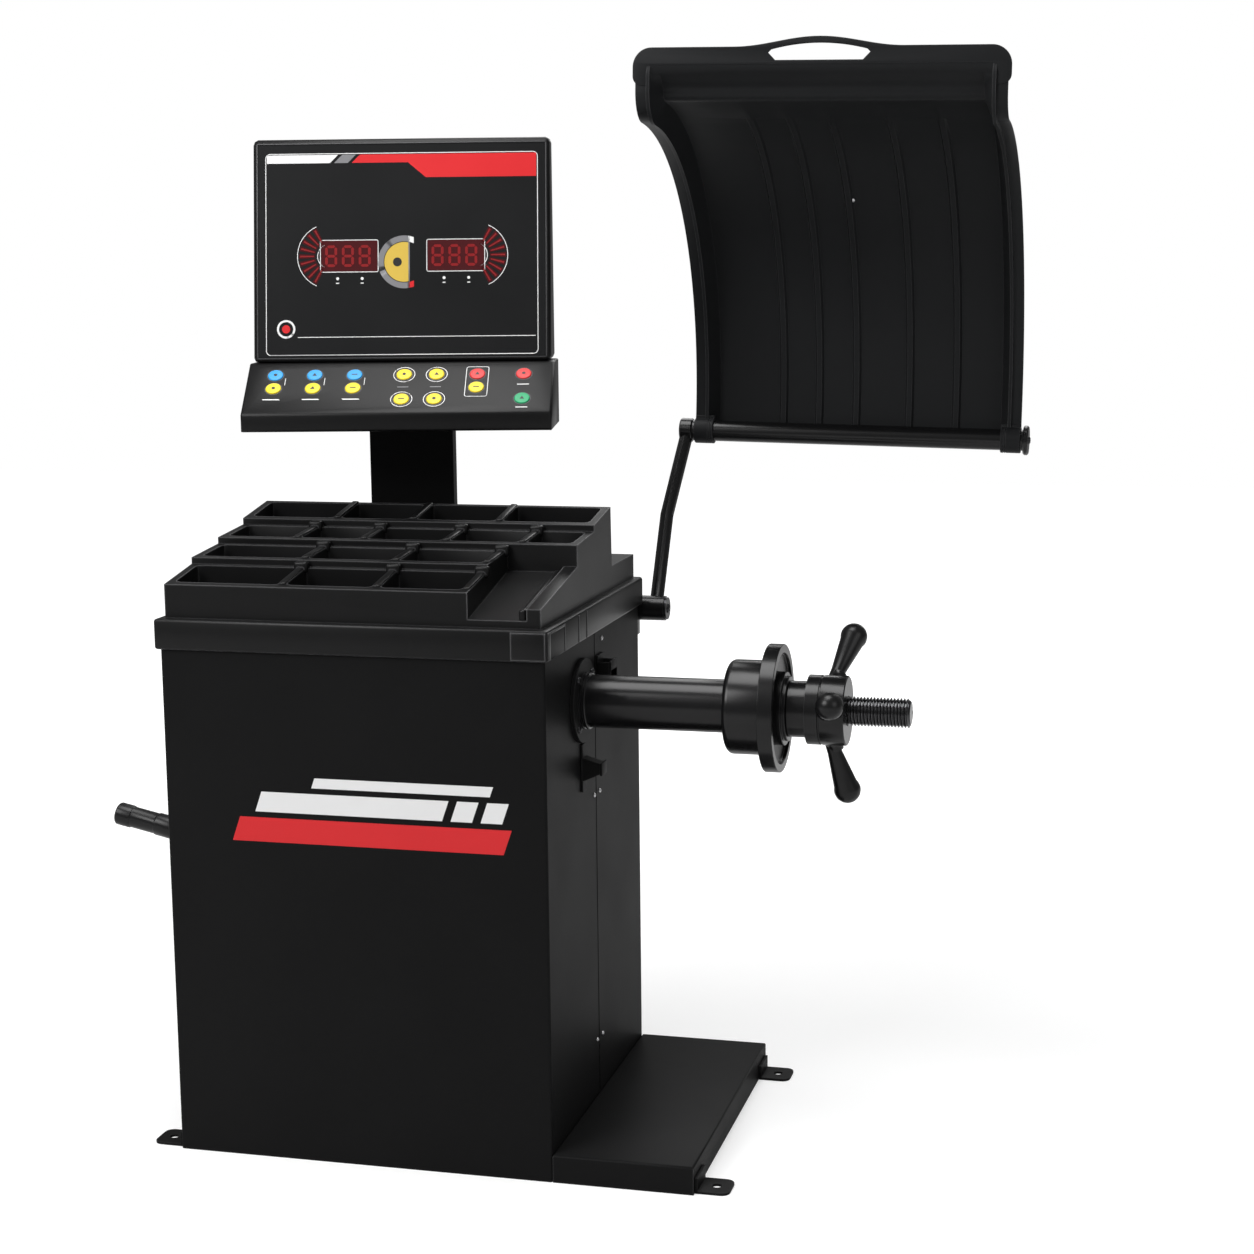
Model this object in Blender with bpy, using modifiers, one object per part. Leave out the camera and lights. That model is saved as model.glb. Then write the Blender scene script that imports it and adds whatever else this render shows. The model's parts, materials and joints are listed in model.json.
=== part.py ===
# Wheel balancer: cabinet with spindle, quick nut, stepped weight tray, display head and wheel guard hood.
# Metres, +Z up. The origin is on the floor under the middle of the cabinet, the front faces -Y and the
# spindle points to +X.
import math

import bmesh
import bpy
from mathutils import Matrix, Vector

# General fits
SEAT_GAP = 0.0003
RUN_GAP = 0.0006

# Cabinet
CABINET_WIDTH = 0.545
CABINET_DEPTH = 0.503
CABINET_HEIGHT = 0.745
SHEET = 0.002
CORNER_RADIUS = 0.004
SEAM_Y = -0.003
PAN_THICKNESS = 0.005

# Side platform and floor anchors
PLATFORM_WIDTH = 0.195
PLATFORM_HEIGHT = 0.0396
PLATFORM_EDGE = 0.003
TAB_LENGTH = 0.046
TAB_WIDTH = 0.050
TAB_THICKNESS = 0.004
TAB_UPRIGHT = 0.022
TAB_CORNER = 0.012
TAB_HOLE_RADIUS = 0.0065
TAB_INSET = 0.006

# Weight tray
SKIRT_CLEARANCE = 0.002
SKIRT_WALL = 0.0042
SKIRT_DROP = 0.030
LEDGE_THICKNESS = 0.012
SKIRT_ROUND = 0.004
TIER_INSET = 0.012
TIER_FRONT_INSET = 0.0145
ROW_DEPTH = 0.090
ROW_COUNT = 4
FRONT_WALL_HEIGHT = 0.046
ROW_RISER = 0.009
ROW_SLOPES = (0.016, 0.008, 0.008, 0.016)
REAR_DECK_RISE = 0.035
REAR_DECK_INSET = 0.010
POCKET_DEPTH = 0.040
POCKET_RIM = 0.011
POCKET_CORNER = 0.008
TRAY_WALL = 0.004
TOOL_RECESS_LEFT = 0.166
TOOL_RECESS_FRONT_RISE = 0.010
TOOL_RECESS_BACK_RISE = 0.050
RAIL_WIDTH = 0.020
RAIL_RISE = 0.016
ROW_DIVIDERS = ((-0.100, 0.034), (-0.103, 0.030), (-0.150, -0.050, 0.072, 0.184), (-0.124, -0.008, 0.122))

# Spindle
SPINDLE_Y = -0.0754
SPINDLE_BELOW_TOP = 0.114
HOUSING_RADIUS = 0.0365
HOUSING_BORE = 0.0300
HOUSING_INNER_END = -0.020
HOUSING_OUTER_END = 0.4785
SIDE_PLATE_RADIUS = 0.059
SIDE_PLATE_THICKNESS = 0.006
SHAFT_RADIUS = 0.0175
SHAFT_INNER_END = -0.066
BEARING_WIDTH = 0.018
BEARING_INSET = 0.012
THREAD_RADIUS = 0.020
THREAD_END = 0.7295
THREAD_CHAMFER = 0.003

# Backing flange
FLANGE_START = 0.482
COLLAR_RADIUS = 0.0645
COLLAR_LENGTH = 0.0536
COLLAR_ROUND = 0.009
DISC_RADIUS = 0.0872
DISC_THICKNESS = 0.0200
DISC_RIM = 0.0117
DISC_DISH = 0.010
HUB_RADIUS = 0.0500
HUB_STEP_RADIUS = 0.0440
HUB_RISE = 0.005
HUB_STEP = 0.005

# Quick nut
SLEEVE_RADIUS = 0.0382
SLEEVE_LENGTH = 0.0255
NUT_RADIUS = 0.0472
NUT_LENGTH = 0.053
NUT_GROOVE_AT = 0.0188
NUT_GROOVE = 0.0015
THREAD_GAP = 0.0005
HANDLE_REACH = 0.121
HANDLE_ROOT_REACH = 0.036
HANDLE_ROOT_RADIUS = 0.0092
HANDLE_END_RADIUS = 0.0185
HANDLE_LEAN = 0.022
HANDLE_FIRST_ANGLE = 46.0
HANDLE_COUNT = 3

# Drive inside the cabinet
PULLEY_WIDTH = 0.014
PULLEY_X = -0.054
DRIVEN_PULLEY_RADIUS = 0.050
MOTOR_PULLEY_RADIUS = 0.020
BELT_THICKNESS = 0.003
MOTOR_Y = 0.110
MOTOR_DROP = 0.231
MOTOR_RADIUS = 0.055
MOTOR_LENGTH = 0.120
MOTOR_FACE_X = -0.020
MOTOR_SHAFT_RADIUS = 0.007
ENCODER_X = -0.029
ENCODER_RADIUS = 0.035
ENCODER_THICKNESS = 0.002
PEDESTAL_WIDTH = 0.150
PEDESTAL_DEPTH = 0.130
PEDESTAL_X = 0.085
PEDESTAL_WALL = 0.006
SADDLE_HEIGHT = 0.030
SENSOR_RADIUS = 0.014

# Display column
COLUMN_TURN = math.radians(12.3)
HEAD_TILT = math.radians(9.5)
HEAD_BOTTOM_X = -0.0383
HEAD_BOTTOM_Y = 0.0938
HEAD_ABOVE_TOP = 0.342
HEAD_WIDTH = 0.434
HEAD_HEIGHT = 0.325
HEAD_TOP_DEPTH = 0.030
HEAD_WALL = 0.003
HEAD_ROUND = 0.007
PANEL_MARGIN = 0.007
PANEL_THICKNESS = 0.004
PANEL_SINK = 0.0008
CONSOLE_SLOPE = math.radians(39.0)
CONSOLE_LENGTH = 0.108
CONSOLE_LIP = 0.026
CONSOLE_EXTRA = 0.0055
CONSOLE_WALL = 0.0056
POST_WIDTH = 0.125
POST_DEPTH = 0.045
POST_WALL = 0.0025
POST_FOOT_MARGIN = 0.012
POST_FOOT_THICKNESS = 0.005
POST_LAP = 0.120

# Keys
KEY_RADIUS = 0.0112
KEY_HEIGHT = 0.0056
KEY_PROUD = 0.0016
KEY_TRAVEL = 0.001
KEY_CLEARANCE = 0.0004
KEY_COLUMNS = {"first": -0.181, "second": -0.124, "third": -0.066, "ring_left": 0.006, "ring_right": 0.053,
               "mode": 0.112, "run": 0.179}
KEY_ROWS = {"upper": 0.027, "middle": 0.055, "lower": 0.079}
KEYS = (
    ("key_blue_left", "first", "upper", "key_blue"), ("key_blue_middle", "second", "upper", "key_blue"),
    ("key_blue_right", "third", "upper", "key_blue"), ("key_yellow_left", "first", "middle", "key_yellow"),
    ("key_yellow_middle", "second", "middle", "key_yellow"),
    ("key_yellow_right", "third", "middle", "key_yellow"),
    ("key_ring_upper_left", "ring_left", "upper", "key_yellow"),
    ("key_ring_upper_right", "ring_right", "upper", "key_yellow"),
    ("key_ring_lower_left", "ring_left", "lower", "key_yellow"),
    ("key_ring_lower_right", "ring_right", "lower", "key_yellow"),
    ("key_mode_red", "mode", "upper", "key_red"), ("key_mode_yellow", "mode", "middle", "key_yellow"),
    ("key_stop_red", "run", "upper", "key_red"), ("key_start_green", "run", "lower", "key_green"),
)

# Hood
PIVOT_Y = 0.281
PIVOT_BELOW_TOP = 0.039
PIVOT_RADIUS = 0.010
BARREL_RADIUS = 0.019
BARREL_START = 0.268
BARREL_END = 0.308
PIVOT_CAP_THICKNESS = 0.003
BRACKET_WIDTH = 0.050
BRACKET_HEIGHT = 0.040
ARM_RADIUS = 0.0105
ARM_X = 0.2925
ELBOW_RADIUS = 0.0185
ELBOW_START = 0.296
HOOD_TUBE_START = 0.3165
HOOD_TUBE_Y = 0.444
HOOD_ARM_RISE = 0.2578
HOOD_TUBE_RADIUS = 0.0160
HOOD_TUBE_WALL = 0.002
HOOD_DROOP = math.radians(1.2)
HOOD_WIDTH = 0.504
HOOD_RADIUS = 0.410
HOOD_ARC_STEPS = 14
HOOD_LEAN = math.radians(4.0)
HOOD_SHEET = 0.003
HOOD_LIP = 0.020
HOOD_SHELL_DEPTH = 0.028
HOOD_WALL_RUN = 0.012
HOOD_FOOT_RISE = 0.0185
HOOD_RIB_WIDTH = 0.012
HOOD_RIB_DEPTH = 0.004
HOOD_RIBS = (-0.118, -0.062, -0.004, 0.078, 0.150)
HEADER_BEND = 0.040
HEADER_BEND_STEPS = 6
HEADER_HEIGHT = 0.057
HEADER_LAP = 0.006
HEADER_EARS = 0.004
HEADER_CORNER = 0.026
HANDLE_BULGE = 0.013
HANDLE_BULGE_HALF = 0.115
SLOT_HALF = 0.069
SLOT_HEIGHT = 0.022
SLOT_BELOW_TOP = 0.009
CLAMP_WIDTH = 0.030
CLAMP_WALL = 0.0035
END_CAP_RADIUS = 0.0225
END_CAP_THICKNESS = 0.008

# Small fittings on the cabinet
PEG_Y = -0.080
PEG_BELOW_TOP = 0.343
PEG_TILT = math.radians(12.0)
PEG_LENGTH = 0.165
PEG_RADIUS = 0.0165
PEG_FLANGE_RADIUS = 0.026
HOOK_PLATE = 0.003
UPPER_HOOK_Y = 0.020
UPPER_HOOK_RISE = 0.015
UPPER_HOOK_REACH = 0.022
UPPER_HOOK_LIP = 0.014
UPPER_HOOK_HEIGHT = 0.034
UPPER_HOOK_HALF_WIDTH = 0.017
LOWER_HOOK_Y = -0.072
LOWER_HOOK_DROP = 0.095
LOWER_HOOK_REACH = 0.030
LOWER_HOOK_NOSE = 0.006
LOWER_HOOK_THROAT = 0.020
LOWER_HOOK_ROOT = 0.010
LOWER_HOOK_HALF_HEIGHT = 0.034
LOWER_HOOK_HALF_WIDTH = 0.011
INLET_X = 0.150
INLET_Z = 0.160
SOCKET_HALF_WIDTH = 0.012
SOCKET_BOTTOM = -0.021
SOCKET_TOP = -0.005
WELL_HALF_WIDTH = 0.011
WELL_BOTTOM = 0.002
WELL_TOP = 0.020
ROCKER_RADIUS = 0.0080
ROCKER_HALF_WIDTH = 0.0105
ROCKER_FACE = ((0.0070, 0.0022), (0.0, 0.0052), (-0.0070, 0.0064))
BOARD_X = -0.120
BOARD_Y = 0.120
BOARD_HALF_LENGTH = 0.10
BOARD_HALF_WIDTH = 0.045
BOARD_RISE = 0.015
BOARD_THICKNESS = 0.002
BOARD_FOOT_INSET = 0.008
BOARD_FOOT_HALF = 0.004
INLET_WIDTH = 0.050
INLET_HEIGHT = 0.060
INLET_PROUD = 0.004
INLET_DEPTH = 0.028
VENT_COUNT = 8
VENT_WIDTH = 0.140
VENT_HEIGHT = 0.006
VENT_PITCH = 0.016
VENT_Z = 0.360
ROUND_SEGMENTS = 40
SMALL_SEGMENTS = 20

HALF_WIDTH = CABINET_WIDTH / 2
HALF_DEPTH = CABINET_DEPTH / 2
SPINDLE_Z = CABINET_HEIGHT - SPINDLE_BELOW_TOP
MOTOR_Z = SPINDLE_Z - MOTOR_DROP
HEAD_BOTTOM_Z = CABINET_HEIGHT + HEAD_ABOVE_TOP
PIVOT_Z = CABINET_HEIGHT - PIVOT_BELOW_TOP
HOOD_TUBE_Z = PIVOT_Z + HOOD_ARM_RISE
PEG_Z = CABINET_HEIGHT - PEG_BELOW_TOP
TRAY_SEAT = CABINET_HEIGHT + SEAT_GAP
LEDGE_TOP = TRAY_SEAT + LEDGE_THICKNESS
SKIRT_X = HALF_WIDTH + SKIRT_CLEARANCE + SKIRT_WALL
SKIRT_Y = HALF_DEPTH + SKIRT_CLEARANCE + SKIRT_WALL
TIER_X = SKIRT_X - TIER_INSET
TIER_FRONT = -SKIRT_Y + TIER_FRONT_INSET
DISC_FACE = FLANGE_START + COLLAR_LENGTH + DISC_THICKNESS
HUB_FACE = DISC_FACE + HUB_RISE + HUB_STEP
SLEEVE_START = HUB_FACE + SEAT_GAP
NUT_START = SLEEVE_START + SLEEVE_LENGTH + SEAT_GAP

TO_X = Matrix(((0, 0, 1), (1, 0, 0), (0, 1, 0))).to_4x4()

for stray in list(bpy.data.objects):
    bpy.data.objects.remove(stray, do_unlink=True)

PARTS = bpy.data.collections.new("wheel_balancer")
CUTTERS = bpy.data.collections.new("wheel_balancer_cutters")
bpy.context.scene.collection.children.link(PARTS)
bpy.context.scene.collection.children.link(CUTTERS)

FINISHES = {
    "cabinet_paint": ((0.016, 0.016, 0.017), 0.42, 0.0),
    "tray_plastic": ((0.018, 0.018, 0.019), 0.40, 0.0),
    "hood_plastic": ((0.012, 0.012, 0.013), 0.36, 0.0),
    "spindle_steel": ((0.020, 0.020, 0.021), 0.28, 0.6),
    "thread_steel": ((0.055, 0.055, 0.058), 0.30, 1.0),
    "plain_steel": ((0.42, 0.42, 0.43), 0.35, 1.0),
    "handle_plastic": ((0.016, 0.016, 0.017), 0.38, 0.0),
    "panel_film": ((0.014, 0.014, 0.016), 0.45, 0.0),
    "key_blue": ((0.02, 0.26, 0.62), 0.35, 0.0),
    "key_yellow": ((0.85, 0.62, 0.01), 0.35, 0.0),
    "key_red": ((0.62, 0.03, 0.03), 0.35, 0.0),
    "key_green": ((0.01, 0.30, 0.11), 0.35, 0.0),
    "belt_rubber": ((0.02, 0.02, 0.02), 0.8, 0.0),
    "motor_paint": ((0.10, 0.11, 0.12), 0.5, 0.3),
    "board_green": ((0.02, 0.14, 0.06), 0.5, 0.0),
    "inlet_plastic": ((0.02, 0.02, 0.02), 0.5, 0.0),
}


def make_finish(name, values):
    colour, roughness, metallic = values
    material = bpy.data.materials.new(name)
    material.use_nodes = True
    shader = material.node_tree.nodes["Principled BSDF"]
    shader.inputs["Base Color"].default_value = (*colour, 1.0)
    shader.inputs["Roughness"].default_value = roughness
    shader.inputs["Metallic"].default_value = metallic
    return material


MATERIALS = {name: make_finish(name, values) for name, values in FINISHES.items()}


def add_empty(name, matrix):
    empty = bpy.data.objects.new(name, None)
    PARTS.objects.link(empty)
    empty.matrix_world = matrix
    return empty


def add_object(name, mesh, finish=None, matrix=None, parent=None):
    # An object without a finish is a cutter or a tool for joining.
    obj = bpy.data.objects.new(name, mesh)
    if finish:
        PARTS.objects.link(obj)
        mesh.materials.append(MATERIALS[finish])
        mesh.shade_smooth()
        mesh.set_sharp_from_angle(angle=math.radians(35))
    else:
        CUTTERS.objects.link(obj)
        obj.hide_render = True
        obj.display_type = "WIRE"
    if parent:
        obj.parent = parent
    if matrix:
        obj.matrix_local = matrix
    return obj


def mesh_from(bm, name):
    bmesh.ops.recalc_face_normals(bm, faces=bm.faces)
    mesh = bpy.data.meshes.new(name)
    bm.to_mesh(mesh)
    bm.free()
    return mesh


def box_mesh(name, low, high, round_axis=None, radius=0.0, segments=3):
    # A box between two corners. The edges along round_axis, or all of them, can be rounded.
    bm = bmesh.new()
    bmesh.ops.create_cube(bm, size=1.0)
    low, high = Vector(low), Vector(high)
    bmesh.ops.scale(bm, vec=high - low, verts=bm.verts)
    bmesh.ops.translate(bm, vec=(low + high) / 2, verts=bm.verts)
    if radius:
        edges = list(bm.edges)
        if round_axis is not None:
            edges = [e for e in edges if abs((e.verts[0].co - e.verts[1].co).normalized()[round_axis]) > 0.9]
        bmesh.ops.bevel(bm, geom=edges, offset=radius, segments=segments, profile=0.5, affect="EDGES")
    return mesh_from(bm, name)


def evaluated_mesh(obj, name):
    # The object's shape as its modifiers leave it, with its caps welded.
    graph = bpy.context.evaluated_depsgraph_get()
    mesh = bpy.data.meshes.new_from_object(obj.evaluated_get(graph))
    mesh.name = name
    bm = bmesh.new()
    bm.from_mesh(mesh)
    bmesh.ops.remove_doubles(bm, verts=bm.verts, dist=0.000002)
    bmesh.ops.recalc_face_normals(bm, faces=bm.faces)
    bm.to_mesh(mesh)
    bm.free()
    return mesh


def turned_mesh(name, outline, segments=ROUND_SEGMENTS, closed=False):
    # Turns (radius, height) points about Z, listed from the top down the outer side.
    profile = bpy.data.meshes.new(name + "_profile")
    points = [(radius, 0.0, height) for radius, height in outline]
    links = [(i, i + 1) for i in range(len(points) - 1)]
    if closed:
        links.append((len(points) - 1, 0))
    profile.from_pydata(points, links, [])
    maker = bpy.data.objects.new(name + "_profile", profile)
    CUTTERS.objects.link(maker)
    screw = maker.modifiers.new("turn", "SCREW")
    screw.steps = segments
    screw.render_steps = segments
    screw.use_merge_vertices = True
    screw.merge_threshold = 0.00001
    mesh = evaluated_mesh(maker, name)
    bpy.data.objects.remove(maker, do_unlink=True)
    return mesh


def ring_outline(outer, inner, low, high):
    return [(inner, high), (outer, high), (outer, low), (inner, low)]


def rod_outline(radius, low, high, chamfer=0.0):
    if not chamfer:
        return [(0.0, high), (radius, high), (radius, low), (0.0, low)]
    return [(0.0, high), (radius - chamfer, high), (radius, high - chamfer),
            (radius, low + chamfer), (radius - chamfer, low), (0.0, low)]


def plate_mesh(name, loops, half_thickness):
    # A flat plate in XY from closed outlines; inner outlines are holes.
    curve = bpy.data.curves.new(name, "CURVE")
    curve.dimensions = "2D"
    curve.fill_mode = "BOTH"
    curve.extrude = half_thickness
    for loop in loops:
        spline = curve.splines.new("POLY")
        spline.points.add(len(loop) - 1)
        for point, place in zip(spline.points, loop):
            point.co = (place[0], place[1], 0.0, 1.0)
        spline.use_cyclic_u = True
    maker = bpy.data.objects.new(name, curve)
    CUTTERS.objects.link(maker)
    mesh = evaluated_mesh(maker, name)
    bpy.data.objects.remove(maker, do_unlink=True)
    return mesh


def tube_mesh(name, points, radius, resolution=4):
    curve = bpy.data.curves.new(name, "CURVE")
    curve.dimensions = "3D"
    curve.bevel_depth = radius
    curve.bevel_resolution = resolution
    curve.use_fill_caps = True
    spline = curve.splines.new("POLY")
    spline.points.add(len(points) - 1)
    for point, place in zip(spline.points, points):
        point.co = (*place, 1.0)
    maker = bpy.data.objects.new(name, curve)
    CUTTERS.objects.link(maker)
    mesh = evaluated_mesh(maker, name)
    bpy.data.objects.remove(maker, do_unlink=True)
    return mesh


def boolean(target, operation, tools):
    for tool in tools:
        modifier = target.modifiers.new(tool.name, "BOOLEAN")
        modifier.operation = operation
        modifier.object = tool
        modifier.solver = "EXACT"


def cut(target, *tools):
    boolean(target, "DIFFERENCE", tools)


def join(target, *tools):
    boolean(target, "UNION", tools)


def tool_box(name, low, high, parent=None, matrix=None, **rounding):
    return add_object(name, box_mesh(name, low, high, **rounding), matrix=matrix, parent=parent)


def along_x(x=0.0, y=SPINDLE_Y, z=SPINDLE_Z):
    return Matrix.Translation((x, y, z)) @ TO_X


def tool_rod_x(name, radius, low, high, y=SPINDLE_Y, z=SPINDLE_Z, segments=ROUND_SEGMENTS):
    mesh = turned_mesh(name, rod_outline(radius, low, high), segments)
    return add_object(name, mesh, matrix=along_x(0.0, y, z))


def arc(centre, radius, start, end, count):
    step = (end - start) / count
    return [(centre[0] + radius * math.cos(start + i * step), centre[1] + radius * math.sin(start + i * step))
            for i in range(count + 1)]


# Base and cabinet
def build_base():
    inset = SHEET + SEAT_GAP
    low = (-HALF_WIDTH + inset, -HALF_DEPTH + inset, 0.0)
    high = (HALF_WIDTH - inset, HALF_DEPTH - inset, PAN_THICKNESS)
    add_object("base_pan", box_mesh("base_pan", low, high), "cabinet_paint")
    left = HALF_WIDTH + SEAT_GAP
    low = (left, -HALF_DEPTH, 0.0)
    high = (left + PLATFORM_WIDTH, HALF_DEPTH, PLATFORM_HEIGHT)
    bm = bmesh.new()
    bmesh.ops.create_cube(bm, size=1.0)
    bmesh.ops.scale(bm, vec=Vector(high) - Vector(low), verts=bm.verts)
    bmesh.ops.translate(bm, vec=(Vector(low) + Vector(high)) / 2, verts=bm.verts)
    top = [e for e in bm.edges if min(v.co.z for v in e.verts) > PLATFORM_HEIGHT / 2]
    bmesh.ops.bevel(bm, geom=top, offset=PLATFORM_EDGE, segments=2, profile=0.5, affect="EDGES")
    platform = add_object("side_platform", mesh_from(bm, "side_platform"), "cabinet_paint")
    wall = Vector((SHEET, SHEET, SHEET))
    hollow_low = (low[0] + SHEET, low[1] + SHEET, -SHEET)
    cut(platform, tool_box("platform_hollow", hollow_low, Vector(high) - wall))


def build_anchor_tab(name, side_x, sign_x, sign_y):
    # A floor tab with one bolt hole and an upturned flange against the wall at side_x.
    matrix = Matrix.Translation((side_x, sign_y * (HALF_DEPTH - TAB_INSET - TAB_WIDTH / 2), 0.0))
    reach = sign_x * (SEAT_GAP + TAB_LENGTH)
    near = sign_x * SEAT_GAP
    bm = bmesh.new()
    bmesh.ops.create_cube(bm, size=1.0)
    bmesh.ops.scale(bm, vec=(TAB_LENGTH, TAB_WIDTH, TAB_THICKNESS), verts=bm.verts)
    middle = ((near + reach) / 2, 0.0, TAB_THICKNESS / 2)
    bmesh.ops.translate(bm, vec=middle, verts=bm.verts)
    outer = [e for e in bm.edges if all(abs(v.co.x - reach) < SEAT_GAP for v in e.verts)
             and abs(e.verts[0].co.z - e.verts[1].co.z) > TAB_THICKNESS / 2]
    bmesh.ops.bevel(bm, geom=outer, offset=TAB_CORNER, segments=5, profile=0.5, affect="EDGES")
    tab = add_object(name, mesh_from(bm, name), "cabinet_paint", matrix)
    flange_x = sorted((near, near + sign_x * TAB_THICKNESS))
    flange_low = (flange_x[0], -TAB_WIDTH / 2, 0.0)
    flange_high = (flange_x[1], TAB_WIDTH / 2, TAB_UPRIGHT)
    join(tab, tool_box(name + "_flange", flange_low, flange_high, matrix=matrix))
    hole = turned_mesh(name + "_hole", rod_outline(TAB_HOLE_RADIUS, -TAB_THICKNESS, 2 * TAB_THICKNESS),
                       SMALL_SEGMENTS)
    place = matrix @ Matrix.Translation((near + sign_x * (TAB_LENGTH + TAB_THICKNESS) / 2, 0.0, 0.0))
    cut(tab, add_object(name + "_hole", hole, matrix=place))


def build_anchor_tabs():
    platform_side = HALF_WIDTH + SEAT_GAP + PLATFORM_WIDTH
    build_anchor_tab("anchor_tab_front_left", -HALF_WIDTH, -1, -1)
    build_anchor_tab("anchor_tab_rear_left", -HALF_WIDTH, -1, 1)
    build_anchor_tab("anchor_tab_front_right", platform_side, 1, -1)
    build_anchor_tab("anchor_tab_rear_right", platform_side, 1, 1)


def cabinet_half(name, front_y, back_y):
    # Half of the cabinet: one end wall and two side walls of bent sheet, open above, below and at the seam.
    end_y = front_y if abs(front_y) > abs(back_y) else back_y
    bm = bmesh.new()
    bmesh.ops.create_cube(bm, size=1.0)
    bmesh.ops.scale(bm, vec=(CABINET_WIDTH, back_y - front_y, CABINET_HEIGHT), verts=bm.verts)
    bmesh.ops.translate(bm, vec=(0.0, (front_y + back_y) / 2, CABINET_HEIGHT / 2), verts=bm.verts)
    bends = [e for e in bm.edges if all(abs(v.co.y - end_y) < SEAT_GAP for v in e.verts)
             and abs(e.verts[0].co.z - e.verts[1].co.z) > CABINET_HEIGHT / 2]
    bmesh.ops.bevel(bm, geom=bends, offset=CORNER_RADIUS, segments=3, profile=0.5, affect="EDGES")
    shell = add_object(name, mesh_from(bm, name), "cabinet_paint")
    wall_y = SHEET if end_y < 0 else -SHEET
    open_y = -end_y
    hollow_y = sorted((end_y + wall_y, open_y))
    low = (-HALF_WIDTH + SHEET, hollow_y[0], -SHEET)
    high = (HALF_WIDTH - SHEET, hollow_y[1], CABINET_HEIGHT + SHEET)
    cut(shell, tool_box(name + "_hollow", low, high))
    return shell


def build_cabinet():
    front = cabinet_half("cabinet_front_shell", -HALF_DEPTH, SEAM_Y - SEAT_GAP)
    hole = tool_rod_x("spindle_hole", HOUSING_RADIUS + RUN_GAP, HALF_WIDTH - 3 * SHEET,
                      HALF_WIDTH + 3 * SHEET)
    cut(front, hole)
    rear = cabinet_half("cabinet_rear_cover", SEAM_Y + SEAT_GAP, HALF_DEPTH)
    for i in range(VENT_COUNT):
        z = VENT_Z + i * VENT_PITCH
        low = (-VENT_WIDTH / 2, HALF_DEPTH - 3 * SHEET, z)
        high = (VENT_WIDTH / 2, HALF_DEPTH + 3 * SHEET, z + VENT_HEIGHT)
        cut(rear, tool_box(f"vent_{i + 1}", low, high))
    half_x = INLET_WIDTH / 2 - INLET_PROUD
    half_z = INLET_HEIGHT / 2 - INLET_PROUD
    low = (INLET_X - half_x - SEAT_GAP, HALF_DEPTH - 3 * SHEET, INLET_Z - half_z - SEAT_GAP)
    high = (INLET_X + half_x + SEAT_GAP, HALF_DEPTH + 3 * SHEET, INLET_Z + half_z + SEAT_GAP)
    cut(rear, tool_box("inlet_cutout", low, high))


# Weight tray
def row_front(row):
    return TIER_FRONT + row * ROW_DEPTH


def row_rim(row):
    # Height of a row's front rim.
    return LEDGE_TOP + FRONT_WALL_HEIGHT + sum(ROW_SLOPES[:row]) + row * ROW_RISER


def tier_outline(first_rows):
    # Side outline of the tiers, from the front foot over the rows to the rear deck.
    foot = TRAY_SEAT + LEDGE_THICKNESS / 2
    points = list(first_rows)
    for row in range(ROW_COUNT):
        if row < 2 and first_rows:
            continue
        points.append((row_front(row), row_rim(row)))
        points.append((row_front(row + 1), row_rim(row) + ROW_SLOPES[row]))
    rear = SKIRT_Y - REAR_DECK_INSET
    deck = LEDGE_TOP + REAR_DECK_RISE
    points += [(row_front(ROW_COUNT) + TRAY_WALL, deck), (rear, deck), (rear, foot), (TIER_FRONT, foot)]
    return points


def extrude_x(name, outline, low, high):
    mesh = plate_mesh(name, [outline], (high - low) / 2)
    return mesh, Matrix.Translation(((low + high) / 2, 0.0, 0.0)) @ TO_X


def pocket_spans(row):
    # Left and right end of each pocket in a row.
    right = TOOL_RECESS_LEFT if row < 2 else TIER_X
    edges = [-TIER_X, *ROW_DIVIDERS[row], right]
    half = POCKET_RIM / 2
    last = len(edges) - 2
    return [(edges[i] + (POCKET_RIM if i == 0 else half), edges[i + 1] - (POCKET_RIM if i == last else half))
            for i in range(len(edges) - 1)]


def pocket_box(row, span):
    low = (span[0], row_front(row) + POCKET_RIM, row_rim(row) - POCKET_DEPTH)
    high = (span[1], row_front(row + 1) - POCKET_RIM / 2, row_rim(row) + 2 * POCKET_DEPTH)
    return low, high


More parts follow.
